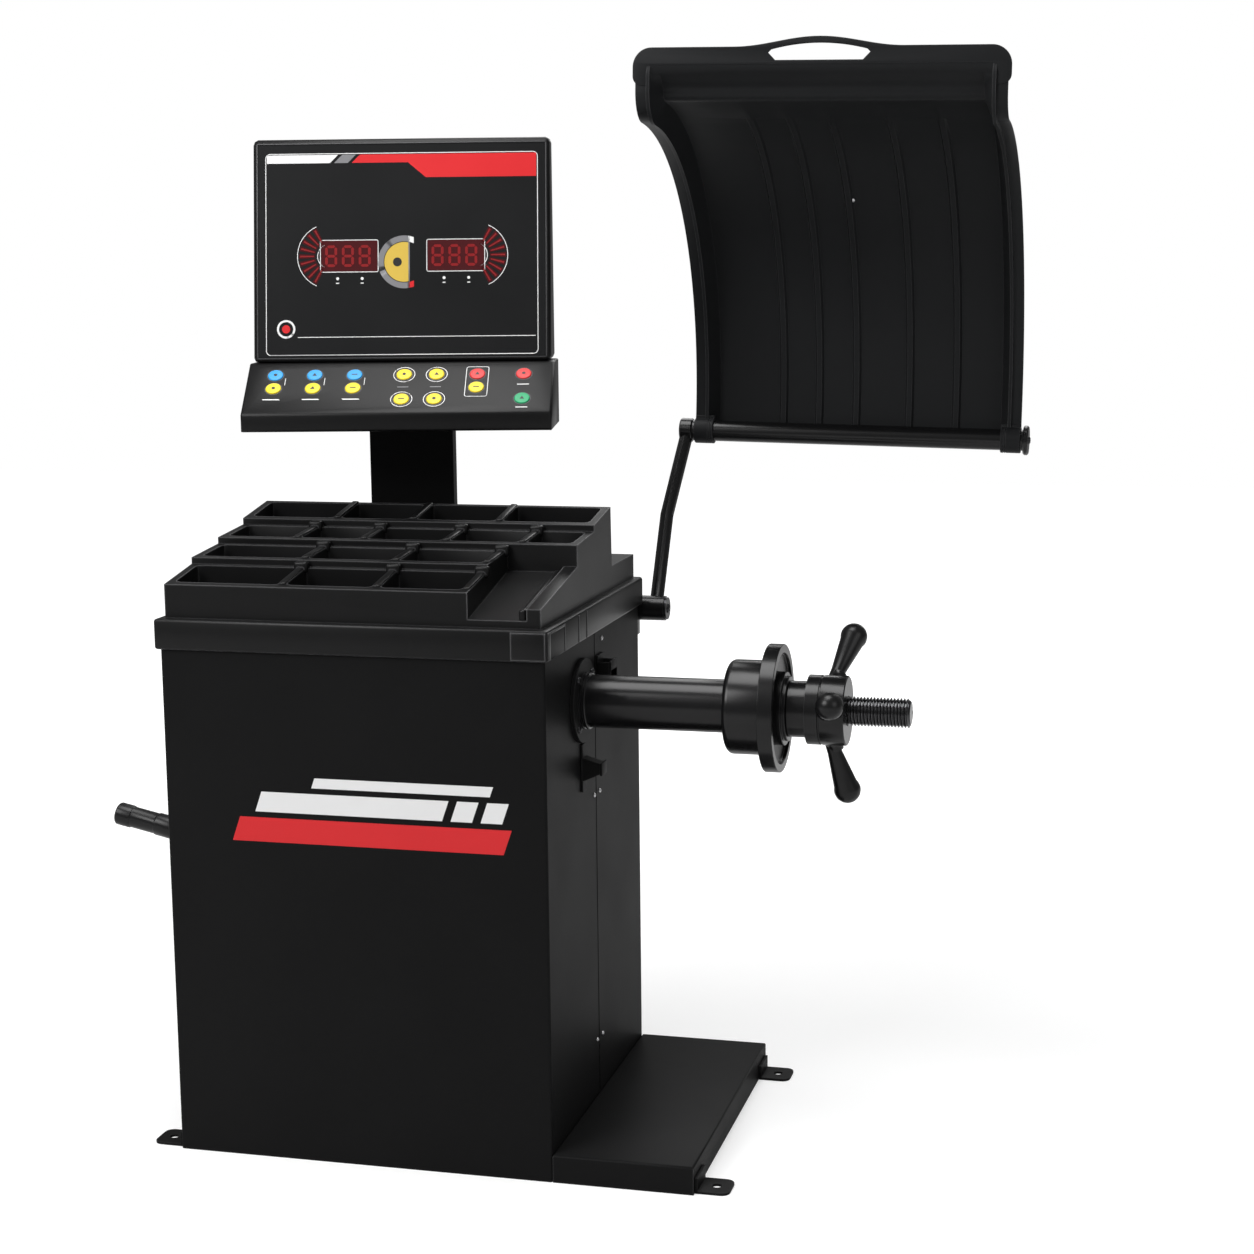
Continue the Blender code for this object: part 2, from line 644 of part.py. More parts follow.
def build_tray():
    low = (-SKIRT_X, -SKIRT_Y, CABINET_HEIGHT - SKIRT_DROP)
    high = (SKIRT_X, SKIRT_Y, LEDGE_TOP)
    skirt = box_mesh("weight_tray", low, high, radius=SKIRT_ROUND, segments=2)
    tray = add_object("weight_tray", skirt, "tray_plastic")
    mesh, matrix = extrude_x("tray_tiers", tier_outline([]), -TIER_X, TOOL_RECESS_LEFT)
    tiers = add_object("tray_tiers", mesh, matrix=matrix)
    recess_back = row_front(2)
    recess = [(TIER_FRONT, LEDGE_TOP + TOOL_RECESS_FRONT_RISE),
              (recess_back, LEDGE_TOP + TOOL_RECESS_BACK_RISE)]
    mesh, matrix = extrude_x("tray_recess_side", tier_outline(recess), TOOL_RECESS_LEFT - TRAY_WALL, TIER_X)
    side = add_object("tray_recess_side", mesh, matrix=matrix)
    rail_low = [(TIER_FRONT, LEDGE_TOP - TRAY_WALL), (recess_back, LEDGE_TOP - TRAY_WALL)]
    rail_high = [(recess_back, LEDGE_TOP + TOOL_RECESS_BACK_RISE + RAIL_RISE / 2),
                 (TIER_FRONT, LEDGE_TOP + TOOL_RECESS_FRONT_RISE + RAIL_RISE)]
    mesh, matrix = extrude_x("tray_rail", rail_low + rail_high, TIER_X - RAIL_WIDTH, TIER_X)
    rail = add_object("tray_rail", mesh, matrix=matrix)
    join(tray, tiers, side, rail)
    inner_x = HALF_WIDTH + SKIRT_CLEARANCE
    inner_y = HALF_DEPTH + SKIRT_CLEARANCE
    under_low = (-inner_x, -inner_y, CABINET_HEIGHT - 2 * SKIRT_DROP)
    cut(tray, tool_box("tray_underside", under_low, (inner_x, inner_y, TRAY_SEAT)))
    cavity_x = TIER_X - POCKET_RIM
    for row in range(ROW_COUNT):
        low = (-cavity_x, row_front(row) + TRAY_WALL, TRAY_SEAT - TRAY_WALL)
        high = (cavity_x, row_front(row + 1) + TRAY_WALL / 2, row_rim(row) - POCKET_DEPTH - TRAY_WALL)
        cut(tray, tool_box(f"tray_cavity_{row + 1}", low, high))
        for number, span in enumerate(pocket_spans(row)):
            low, high = pocket_box(row, span)
            name = f"pocket_{row + 1}_{number + 1}"
            cut(tray, tool_box(name, low, high, round_axis=2, radius=POCKET_CORNER, segments=2))
    deck_front = row_front(ROW_COUNT) + 2 * TRAY_WALL
    low = (-cavity_x, deck_front, TRAY_SEAT - TRAY_WALL)
    high = (cavity_x, SKIRT_Y - REAR_DECK_INSET - POCKET_RIM, LEDGE_TOP + REAR_DECK_RISE - TRAY_WALL)
    cut(tray, tool_box("tray_cavity_deck", low, high))


# Spindle and its fixed carriers
def build_spindle_carriers():
    housing = turned_mesh("spindle_housing", ring_outline(HOUSING_RADIUS, HOUSING_BORE, HOUSING_INNER_END,
                                                          HOUSING_OUTER_END), closed=True)
    add_object("spindle_housing", housing, "spindle_steel", along_x())
    start = HALF_WIDTH + SEAT_GAP
    plate_outline = ring_outline(SIDE_PLATE_RADIUS, HOUSING_RADIUS + SEAT_GAP, start,
                                 start + SIDE_PLATE_THICKNESS)
    plate = turned_mesh("housing_side_plate", plate_outline, closed=True)
    add_object("housing_side_plate", plate, "cabinet_paint", along_x())
    seats = {"bearing_inner": HOUSING_INNER_END + BEARING_INSET,
             "bearing_outer": HOUSING_OUTER_END - BEARING_INSET - BEARING_WIDTH}
    for name, x in seats.items():
        outline = ring_outline(HOUSING_BORE - SEAT_GAP, SHAFT_RADIUS + SEAT_GAP, x, x + BEARING_WIDTH)
        add_object(name, turned_mesh(name, outline, closed=True), "plain_steel", along_x())
    saddle_top = SPINDLE_Z - HOUSING_RADIUS + SADDLE_HEIGHT
    half_x, half_y = PEDESTAL_WIDTH / 2, PEDESTAL_DEPTH / 2
    low = (PEDESTAL_X - half_x, SPINDLE_Y - half_y, PAN_THICKNESS + SEAT_GAP)
    high = (PEDESTAL_X + half_x, SPINDLE_Y + half_y, saddle_top)
    pedestal = add_object("spindle_pedestal", box_mesh("spindle_pedestal", low, high), "cabinet_paint")
    groove = tool_rod_x("pedestal_saddle", HOUSING_RADIUS + SEAT_GAP, HOUSING_INNER_END - SADDLE_HEIGHT,
                        HOUSING_OUTER_END)
    inside_low = (low[0] + PEDESTAL_WALL, low[1] + PEDESTAL_WALL, 0.0)
    inside_top = SPINDLE_Z - HOUSING_RADIUS - 3 * PEDESTAL_WALL
    inside_high = (high[0] - PEDESTAL_WALL, high[1] - PEDESTAL_WALL, inside_top)
    inside = tool_box("pedestal_inside", inside_low, inside_high)
    cut(pedestal, groove, inside)
    sensor_x = high[0] + SEAT_GAP
    outline = rod_outline(SENSOR_RADIUS, sensor_x, sensor_x + SENSOR_RADIUS)
    sensor_z = SPINDLE_Z - HOUSING_RADIUS - 2 * SENSOR_RADIUS
    sensor = turned_mesh("force_sensor", outline, SMALL_SEGMENTS)
    add_object("force_sensor", sensor, "plain_steel", along_x(0.0, SPINDLE_Y, sensor_z))


def build_shaft():
    shaft = turned_mesh("main_shaft", [
        (0.0, THREAD_END), (THREAD_RADIUS - THREAD_CHAMFER, THREAD_END),
        (THREAD_RADIUS, THREAD_END - THREAD_CHAMFER), (THREAD_RADIUS, FLANGE_START),
        (SHAFT_RADIUS, FLANGE_START), (SHAFT_RADIUS, SHAFT_INNER_END), (0.0, SHAFT_INNER_END)])
    add_object("main_shaft", shaft, "thread_steel", along_x())
    bore = THREAD_RADIUS + SEAT_GAP
    rim = DISC_RADIUS - DISC_RIM
    disc_back = FLANGE_START + COLLAR_LENGTH
    outline = [(bore, HUB_FACE), (HUB_STEP_RADIUS, HUB_FACE), (HUB_STEP_RADIUS, DISC_FACE + HUB_RISE),
               (HUB_RADIUS, DISC_FACE + HUB_RISE), (HUB_RADIUS, DISC_FACE - DISC_DISH),
               (rim, DISC_FACE - DISC_DISH / 2), (rim, DISC_FACE), (DISC_RADIUS, DISC_FACE),
               (DISC_RADIUS, disc_back), (COLLAR_RADIUS, disc_back)]
    centre = (COLLAR_RADIUS - COLLAR_ROUND, FLANGE_START + COLLAR_ROUND)
    outline += arc(centre, COLLAR_ROUND, 0.0, -math.pi / 2, 5)
    outline.append((bore, FLANGE_START))
    flange_mesh = turned_mesh("backing_flange", outline, closed=True)
    add_object("backing_flange", flange_mesh, "spindle_steel", along_x())
    outline = ring_outline(ENCODER_RADIUS, SHAFT_RADIUS + SEAT_GAP, ENCODER_X, ENCODER_X + ENCODER_THICKNESS)
    add_object("encoder_disc", turned_mesh("encoder_disc", outline, closed=True), "plain_steel", along_x())


def build_nut():
    bore = THREAD_RADIUS + THREAD_GAP
    outline = ring_outline(SLEEVE_RADIUS, bore, SLEEVE_START, SLEEVE_START + SLEEVE_LENGTH)
    sleeve_mesh = turned_mesh("pressure_sleeve", outline, closed=True)
    add_object("pressure_sleeve", sleeve_mesh, "spindle_steel", along_x())
    end = NUT_START + NUT_LENGTH
    groove = NUT_START + NUT_GROOVE_AT
    dip = NUT_RADIUS - NUT_GROOVE
    outline = [(bore, end), (NUT_RADIUS - NUT_GROOVE, end), (NUT_RADIUS, end - NUT_GROOVE),
               (NUT_RADIUS, groove + NUT_GROOVE), (dip, groove + NUT_GROOVE / 2),
               (dip, groove - NUT_GROOVE / 2), (NUT_RADIUS, groove - NUT_GROOVE),
               (NUT_RADIUS, NUT_START), (bore, NUT_START)]
    nut = add_object("quick_nut", turned_mesh("quick_nut", outline, closed=True), "spindle_steel", along_x())
    root_x = groove + (end - groove) / 2
    for i in range(HANDLE_COUNT):
        angle = math.radians(HANDLE_FIRST_ANGLE + i * 360.0 / HANDLE_COUNT)
        outward = Vector((0.0, math.cos(angle), math.sin(angle)))
        root = Vector((root_x - HANDLE_LEAN / 2, SPINDLE_Y, SPINDLE_Z)) + outward * HANDLE_ROOT_REACH
        tip = Vector((root_x + HANDLE_LEAN / 2, SPINDLE_Y, SPINDLE_Z)) + outward * HANDLE_REACH
        axis = (tip - root).normalized()
        length = (tip - root).length
        turn = axis.to_track_quat("Z", "Y").to_matrix().to_4x4()
        place = Matrix.Translation(root) @ turn
        ball = arc((0.0, length), HANDLE_END_RADIUS, math.pi / 2, -math.radians(28), 8)
        neck = (HANDLE_ROOT_RADIUS * 1.08, length * 0.32)
        outline = [(max(0.0, r), h) for r, h in ball] + [neck, (HANDLE_ROOT_RADIUS, 0.0), (0.0, 0.0)]
        name = f"nut_handle_{i + 1}"
        add_object(name, turned_mesh(name, outline, SMALL_SEGMENTS), "handle_plastic", place)
        socket_outline = rod_outline(HANDLE_ROOT_RADIUS * 1.08 + SEAT_GAP, -SEAT_GAP, length * 0.32)
        socket = turned_mesh(name + "_socket", socket_outline, SMALL_SEGMENTS)
        cut(nut, add_object(name + "_socket", socket, matrix=place))


# Drive inside the cabinet
def pulley_outline(radius, bore):
    low, high = PULLEY_X - PULLEY_WIDTH / 2, PULLEY_X + PULLEY_WIDTH / 2
    return ring_outline(radius, bore, low, high)


def belt_loop(reach_small, reach_large, gap):
    # Outline round two circles whose centres are gap apart, the large one at the origin.
    lean = math.acos((reach_large - reach_small) / gap)
    small = arc((gap, 0.0), reach_small, -lean, lean, 12)
    large = arc((0.0, 0.0), reach_large, lean, 2 * math.pi - lean, 24)
    return small + large


def build_drive():
    outline = pulley_outline(DRIVEN_PULLEY_RADIUS, SHAFT_RADIUS + SEAT_GAP)
    add_object("driven_pulley", turned_mesh("driven_pulley", outline, closed=True), "plain_steel", along_x())
    low, high = PULLEY_X - PULLEY_WIDTH / 2, PULLEY_X + PULLEY_WIDTH / 2
    shaft_end = MOTOR_FACE_X - SEAT_GAP
    outline = [(0.0, shaft_end), (MOTOR_SHAFT_RADIUS, shaft_end), (MOTOR_SHAFT_RADIUS, high),
               (MOTOR_PULLEY_RADIUS, high), (MOTOR_PULLEY_RADIUS, low), (0.0, low)]
    motor_axis = along_x(0.0, MOTOR_Y, MOTOR_Z)
    pulley_mesh = turned_mesh("motor_pulley", outline, SMALL_SEGMENTS)
    add_object("motor_pulley", pulley_mesh, "plain_steel", motor_axis)
    motor_outline = rod_outline(MOTOR_RADIUS, MOTOR_FACE_X, MOTOR_FACE_X + MOTOR_LENGTH, 2 * SHEET)
    add_object("drive_motor", turned_mesh("drive_motor", motor_outline), "motor_paint", motor_axis)
    span = Vector((MOTOR_Y - SPINDLE_Y, MOTOR_Z - SPINDLE_Z))
    inner = belt_loop(MOTOR_PULLEY_RADIUS + SEAT_GAP, DRIVEN_PULLEY_RADIUS + SEAT_GAP, span.length)
    outer = belt_loop(MOTOR_PULLEY_RADIUS + SEAT_GAP + BELT_THICKNESS,
                      DRIVEN_PULLEY_RADIUS + SEAT_GAP + BELT_THICKNESS, span.length)
    belt = plate_mesh("drive_belt", [outer, inner], PULLEY_WIDTH / 2 - SHEET / 2)
    turn = Matrix.Rotation(math.atan2(span.y, span.x), 4, "Z")
    add_object("drive_belt", belt, "belt_rubber", along_x(PULLEY_X) @ turn)
    bracket_bottom = MOTOR_Z - MOTOR_RADIUS - SEAT_GAP
    pedestal_back = SPINDLE_Y + PEDESTAL_DEPTH / 2 + SEAT_GAP
    reach = MOTOR_Y + MOTOR_RADIUS
    start = PEDESTAL_X - PEDESTAL_WIDTH / 2
    low = (start, pedestal_back, bracket_bottom - PEDESTAL_WALL)
    high = (MOTOR_FACE_X + MOTOR_LENGTH, reach, MOTOR_Z - MOTOR_RADIUS / 2)
    bracket = add_object("motor_bracket", box_mesh("motor_bracket", low, high), "cabinet_paint")
    bed = tool_rod_x("motor_bed", MOTOR_RADIUS + SEAT_GAP, MOTOR_FACE_X - SHEET,
                     MOTOR_FACE_X + 2 * MOTOR_LENGTH, MOTOR_Y, MOTOR_Z)
    cut(bracket, bed)
    seat_x = HOUSING_INNER_END - SEAT_GAP
    top = SPINDLE_Z + HOUSING_RADIUS + 2 * PEDESTAL_WALL
    low = (ENCODER_X - 4 * SHEET, SPINDLE_Y - 2 * PEDESTAL_WALL, SPINDLE_Z + HOUSING_BORE)
    sensor = box_mesh("encoder_sensor", low, (seat_x, SPINDLE_Y + 2 * PEDESTAL_WALL, top))
    sensor = add_object("encoder_sensor", sensor, "inlet_plastic")
    slot_low = (ENCODER_X - SHEET, SPINDLE_Y - 1.0, SPINDLE_Z)
    slot_high = (ENCODER_X + ENCODER_THICKNESS + SHEET, SPINDLE_Y + 1.0, SPINDLE_Z + ENCODER_RADIUS + SHEET)
    cut(sensor, tool_box("encoder_slot", slot_low, slot_high))


def build_power():
    rear = HALF_DEPTH
    half_x, half_z = INLET_WIDTH / 2, INLET_HEIGHT / 2
    low = (INLET_X - half_x, rear + SEAT_GAP, INLET_Z - half_z)
    high = (INLET_X + half_x, rear + SEAT_GAP + INLET_PROUD, INLET_Z + half_z)
    inlet = add_object("power_inlet", box_mesh("power_inlet", low, high), "inlet_plastic")
    body_low = (INLET_X - half_x + INLET_PROUD, rear - INLET_DEPTH, INLET_Z - half_z + INLET_PROUD)
    body_high = (INLET_X + half_x - INLET_PROUD, rear + INLET_PROUD / 2, INLET_Z + half_z - INLET_PROUD)
    join(inlet, tool_box("inlet_body", body_low, body_high))
    deep, clear = rear - INLET_DEPTH / 2, rear + 2 * INLET_PROUD
    socket = tool_box("inlet_socket", (INLET_X - SOCKET_HALF_WIDTH, deep, INLET_Z + SOCKET_BOTTOM),
                      (INLET_X + SOCKET_HALF_WIDTH, clear, INLET_Z + SOCKET_TOP))
    well = tool_box("switch_well", (INLET_X - WELL_HALF_WIDTH, deep, INLET_Z + WELL_BOTTOM),
                    (INLET_X + WELL_HALF_WIDTH, clear, INLET_Z + WELL_TOP))
    cut(inlet, socket, well)
    # The rocker turns about X in the well: a rounded back and a shallow V front.
    pivot = Matrix.Translation((INLET_X, rear, INLET_Z + (WELL_BOTTOM + WELL_TOP) / 2)) @ TO_X
    outline = arc((0.0, 0.0), ROCKER_RADIUS, math.radians(200), math.radians(340), 8)
    outline += ROCKER_FACE
    turned = [(y, z) for y, z in ((v, -u) for u, v in outline)]
    rocker = plate_mesh("power_rocker", [turned], ROCKER_HALF_WIDTH)
    add_object("power_rocker", rocker, "key_red", pivot)
    half_board = Vector((BOARD_HALF_LENGTH, BOARD_HALF_WIDTH))
    centre = Vector((BOARD_X, BOARD_Y))
    under = PAN_THICKNESS + BOARD_RISE
    low = (centre.x - half_board.x, centre.y - half_board.y, under)
    high = (centre.x + half_board.x, centre.y + half_board.y, under + BOARD_THICKNESS)
    board = add_object("power_board", box_mesh("power_board", low, high), "board_green")
    for sx in (-1, 1):
        for sy in (-1, 1):
            x = centre.x + sx * (half_board.x - BOARD_FOOT_INSET)
            y = centre.y + sy * (half_board.y - BOARD_FOOT_INSET)
            foot_low = (x - BOARD_FOOT_HALF, y - BOARD_FOOT_HALF, PAN_THICKNESS + SEAT_GAP)
            foot_high = (x + BOARD_FOOT_HALF, y + BOARD_FOOT_HALF, under + BOARD_THICKNESS / 2)
            foot = tool_box(f"board_foot_{sx}_{sy}", foot_low, foot_high)
            join(board, foot)


# Display column: local X across, local Y back, local Z up, origin at the foot of the screen face
def build_display():
    screen_foot = Matrix.Translation((HEAD_BOTTOM_X, HEAD_BOTTOM_Y, HEAD_BOTTOM_Z))
    column = screen_foot @ Matrix.Rotation(COLUMN_TURN, 4, "Z")
    frame = add_empty("display_column", column)
    top_back = HEAD_HEIGHT * math.sin(HEAD_TILT)
    top_z = HEAD_HEIGHT * math.cos(HEAD_TILT)
    back = top_back + HEAD_TOP_DEPTH
    outline = [(0.0, 0.0), (back, 0.0), (back, top_z), (top_back, top_z)]
    mesh, matrix = extrude_x("display_housing", outline, -HEAD_WIDTH / 2, HEAD_WIDTH / 2)
    housing = add_object("display_housing", mesh, "tray_plastic", matrix, frame)
    bevel = housing.modifiers.new("rounded_edges", "BEVEL")
    bevel.width = HEAD_ROUND
    bevel.segments = 2
    bevel.limit_method = "ANGLE"
    face = Matrix.Rotation(-HEAD_TILT, 4, "X")
    half = HEAD_WIDTH / 2 - PANEL_MARGIN
    depth = PANEL_SINK + PANEL_THICKNESS + SEAT_GAP
    seat_low = (-half, -1.0, PANEL_MARGIN)
    seat_high = (half, depth, HEAD_HEIGHT - PANEL_MARGIN)
    seat = tool_box("panel_seat", seat_low, seat_high, frame, face)
    inner_half = half - 2 * HEAD_WALL
    inner_back = back - HEAD_WALL
    inner_low, inner_high = 3 * PANEL_MARGIN, top_z - 2 * PANEL_MARGIN
    past_face = 0.02
    inner = [(-past_face, inner_low), (inner_back, inner_low), (inner_back, inner_high),
             (top_back - past_face, inner_high)]
    mesh, matrix = extrude_x("housing_inside", inner, -inner_half, inner_half)
    inside = add_object("housing_inside", mesh, matrix=matrix, parent=frame)
    cut(housing, seat, inside)
    panel_low = (-half + SEAT_GAP, PANEL_SINK, PANEL_MARGIN + SEAT_GAP)
    panel_high = (half - SEAT_GAP, PANEL_SINK + PANEL_THICKNESS, HEAD_HEIGHT - PANEL_MARGIN - SEAT_GAP)
    panel = box_mesh("display_panel", panel_low, panel_high)
    add_object("display_panel", panel, "panel_film", face, frame)
    board_gap = PANEL_SINK + PANEL_THICKNESS + SEAT_GAP
    board_low = (-inner_half / 2, board_gap, HEAD_HEIGHT * 0.35)
    board = box_mesh("display_board", board_low, (inner_half / 2, board_gap + SHEET, HEAD_HEIGHT * 0.75))
    add_object("display_board", board, "board_green", face, frame)
    build_console(frame, back)
    build_post(frame, back, top_z)


def build_console(frame, back):
    run = CONSOLE_LENGTH * math.cos(CONSOLE_SLOPE)
    fall = CONSOLE_LENGTH * math.sin(CONSOLE_SLOPE)
    bottom = -SEAT_GAP - fall - CONSOLE_LIP
    half = HEAD_WIDTH / 2 + CONSOLE_EXTRA
    outline = [(0.0, -SEAT_GAP), (-run, -SEAT_GAP - fall), (-run, bottom), (back, bottom), (back, -SEAT_GAP)]
    mesh, matrix = extrude_x("keypad_console", outline, -half, half)
    console = add_object("keypad_console", mesh, "tray_plastic", matrix, frame)
    bevel = console.modifiers.new("rounded_edges", "BEVEL")
    bevel.width = HEAD_ROUND / 2
    bevel.segments = 2
    bevel.limit_method = "ANGLE"
    wall = CONSOLE_WALL
    slant = wall / math.cos(CONSOLE_SLOPE)
    inside_top = -SEAT_GAP - slant
    inside_nose = -run + 2 * wall
    inside = [(0.0, inside_top), (inside_nose, inside_top - fall + 2 * wall * math.tan(CONSOLE_SLOPE)),
              (inside_nose, bottom - wall), (back - wall, bottom - wall), (back - wall, inside_top)]
    mesh, matrix = extrude_x("console_inside", inside, -half + wall, half - wall)
    cut(console, add_object("console_inside", mesh, matrix=matrix, parent=frame))
    slope = Matrix.Translation((0.0, 0.0, -SEAT_GAP)) @ Matrix.Rotation(CONSOLE_SLOPE, 4, "X")
    bottom_of_key = KEY_PROUD - KEY_HEIGHT
    for name, column, row, finish in KEYS:
        place = slope @ Matrix.Translation((KEY_COLUMNS[column], -KEY_ROWS[row], 0.0))
        crown = KEY_RADIUS * 0.82
        outline = [(0.0, KEY_PROUD), (crown, KEY_PROUD), (KEY_RADIUS, KEY_PROUD * 0.55),
                   (KEY_RADIUS, bottom_of_key), (0.0, bottom_of_key)]
        add_object(name, turned_mesh(name, outline, SMALL_SEGMENTS), finish, place, frame)
        hole = rod_outline(KEY_RADIUS + KEY_CLEARANCE, -2 * CONSOLE_WALL, 2 * CONSOLE_WALL)
        tool = turned_mesh(name + "_hole", hole, SMALL_SEGMENTS)
        cut(console, add_object(name + "_hole", tool, matrix=place, parent=frame))


def build_post(frame, back, top_z):
    foot = LEDGE_TOP + REAR_DECK_RISE + SEAT_GAP - HEAD_BOTTOM_Z
    front = back + SEAT_GAP
    low = (-POST_WIDTH / 2, front, foot)
    high = (POST_WIDTH / 2, front + POST_DEPTH, POST_LAP)
    post = add_object("display_post", box_mesh("display_post", low, high), "cabinet_paint", parent=frame)
    margin = POST_FOOT_MARGIN
    plate_low = (low[0] - margin, front, foot)
    plate_high = (high[0] + margin, high[1], foot + POST_FOOT_THICKNESS)
    join(post, tool_box("post_foot", plate_low, plate_high, frame))
    inside_low = (low[0] + POST_WALL, low[1] + POST_WALL, foot - POST_WALL)
    inside_high = (high[0] - POST_WALL, high[1] - POST_WALL, high[2] - POST_WALL)
    cut(post, tool_box("post_inside", inside_low, inside_high, frame))


# Hood: its own frame starts where the tube leaves the elbow and droops a little to the right
def build_hood():
    hinge = add_empty("hood_hinge", Matrix.Translation((0.0, PIVOT_Y, PIVOT_Z)))
    tube_place = Matrix.Translation((HOOD_TUBE_START, HOOD_TUBE_Y - PIVOT_Y, HOOD_TUBE_Z - PIVOT_Z))
    frame = add_empty("hood_frame", Matrix.Identity(4))
    frame.parent = hinge
    frame.matrix_local = tube_place @ Matrix.Rotation(HOOD_DROOP, 4, "Y")
    build_hood_pivot()
    build_hood_arm(hinge, frame)
    build_hood_shell(frame)


def build_hood_pivot():
    rear = HALF_DEPTH + SEAT_GAP
    top = CABINET_HEIGHT - SKIRT_DROP - RUN_GAP
    end = BARREL_START - RUN_GAP
    start = end - BRACKET_WIDTH
    low = (start, rear, PIVOT_Z - BRACKET_HEIGHT)
    bracket = box_mesh("hood_pivot_bracket", low, (end, PIVOT_Y, top))
    bracket = add_object("hood_pivot_bracket", bracket, "cabinet_paint")
    boss = tool_rod_x("pivot_boss", BARREL_RADIUS - SHEET, start, end, PIVOT_Y, PIVOT_Z, SMALL_SEGMENTS)
    join(bracket, boss)
    hole = tool_rod_x("pivot_boss_hole", PIVOT_RADIUS + SEAT_GAP, start - SHEET, end + SHEET,
                      PIVOT_Y, PIVOT_Z, SMALL_SEGMENTS)
    cut(bracket, hole)
    cap = BARREL_END + RUN_GAP
    outline = [(0.0, cap + PIVOT_CAP_THICKNESS), (BARREL_RADIUS - SHEET, cap + PIVOT_CAP_THICKNESS),
               (BARREL_RADIUS - SHEET, cap), (PIVOT_RADIUS, cap), (PIVOT_RADIUS, start), (0.0, start)]
    mesh = turned_mesh("hood_pivot_shaft", outline, SMALL_SEGMENTS)
    add_object("hood_pivot_shaft", mesh, "plain_steel", along_x(0.0, PIVOT_Y, PIVOT_Z))


def build_hood_arm(hinge, frame):
    barrel = turned_mesh("hood_arm", rod_outline(BARREL_RADIUS, BARREL_START, BARREL_END), SMALL_SEGMENTS)
    arm = add_object("hood_arm", barrel, "cabinet_paint", TO_X, hinge)
    rise = Vector((0.0, HOOD_TUBE_Y - PIVOT_Y, HOOD_TUBE_Z - PIVOT_Z))
    elbow_x = (ELBOW_START + HOOD_TUBE_START) / 2
    bend = Vector((ARM_X, 0.0, 0.0)) + rise * 0.5 + Vector((0.0, -ARM_RADIUS, ARM_RADIUS)) * 0.4
    points = [Vector((ARM_X, 0.0, 0.0)) + rise * 0.02, bend, Vector((elbow_x, 0.0, 0.0)) + rise * 0.98]
    pipe = add_object("arm_pipe", tube_mesh("arm_pipe", points, ARM_RADIUS), parent=hinge)
    outline = rod_outline(ELBOW_RADIUS, ELBOW_START - HOOD_TUBE_START, -SEAT_GAP, SHEET)
    elbow_mesh = turned_mesh("arm_elbow", outline, SMALL_SEGMENTS)
    elbow = add_object("arm_elbow", elbow_mesh, matrix=TO_X, parent=frame)
    join(arm, pipe, elbow)
    bore = rod_outline(PIVOT_RADIUS + RUN_GAP, BARREL_START - SHEET, BARREL_END + SHEET)
    hole = turned_mesh("arm_hole", bore, SMALL_SEGMENTS)
    cut(arm, add_object("arm_hole", hole, matrix=TO_X, parent=hinge))


def hood_section():
    # Across the hood: lip, wall, panel with raised ribs, wall, lip. Depth counts back from the lip face.
    half = HOOD_WIDTH / 2
    lip, wall = half - HOOD_LIP, half - HOOD_LIP - HOOD_WALL_RUN
    points = [(-half, 0.0), (-lip, 0.0), (-wall, HOOD_SHELL_DEPTH)]
    for rib in HOOD_RIBS:
        points += [(rib - HOOD_RIB_WIDTH / 2, HOOD_SHELL_DEPTH), (rib, HOOD_SHELL_DEPTH - HOOD_RIB_DEPTH),
                   (rib + HOOD_RIB_WIDTH / 2, HOOD_SHELL_DEPTH)]
    return points + [(wall, HOOD_SHELL_DEPTH), (lip, 0.0), (half, 0.0)]


def hood_stations():
    # Along the hood, in its side view: the lip's place, the way out of the hood and how deep the panel lies.
    centre = Vector((-HOOD_RADIUS * math.cos(HOOD_LEAN), HOOD_RADIUS * math.sin(HOOD_LEAN) + HOOD_FOOT_RISE))
    end = math.acos(HEADER_BEND / (HOOD_RADIUS + HEADER_BEND))
    stations = []
    for i in range(HOOD_ARC_STEPS + 1):
        angle = -HOOD_LEAN + (end + HOOD_LEAN) * i / HOOD_ARC_STEPS
        outward = Vector((math.cos(angle), math.sin(angle)))
        stations.append((centre + outward * HOOD_RADIUS, outward, 1.0))
    bend = centre + Vector((math.cos(end), math.sin(end))) * (HOOD_RADIUS + HEADER_BEND)
    for i in range(1, HEADER_BEND_STEPS + 1):
        share = i / HEADER_BEND_STEPS
        outward = Vector((math.cos(end * (1 - share)), math.sin(end * (1 - share))))
        stations.append((bend - outward * HEADER_BEND, outward, 1.0 - share))
    foot = stations[-1][0]
    stations.append((foot + Vector((0.0, 2 * HEADER_LAP)), Vector((1.0, 0.0)), 0.0))
    return stations, foot


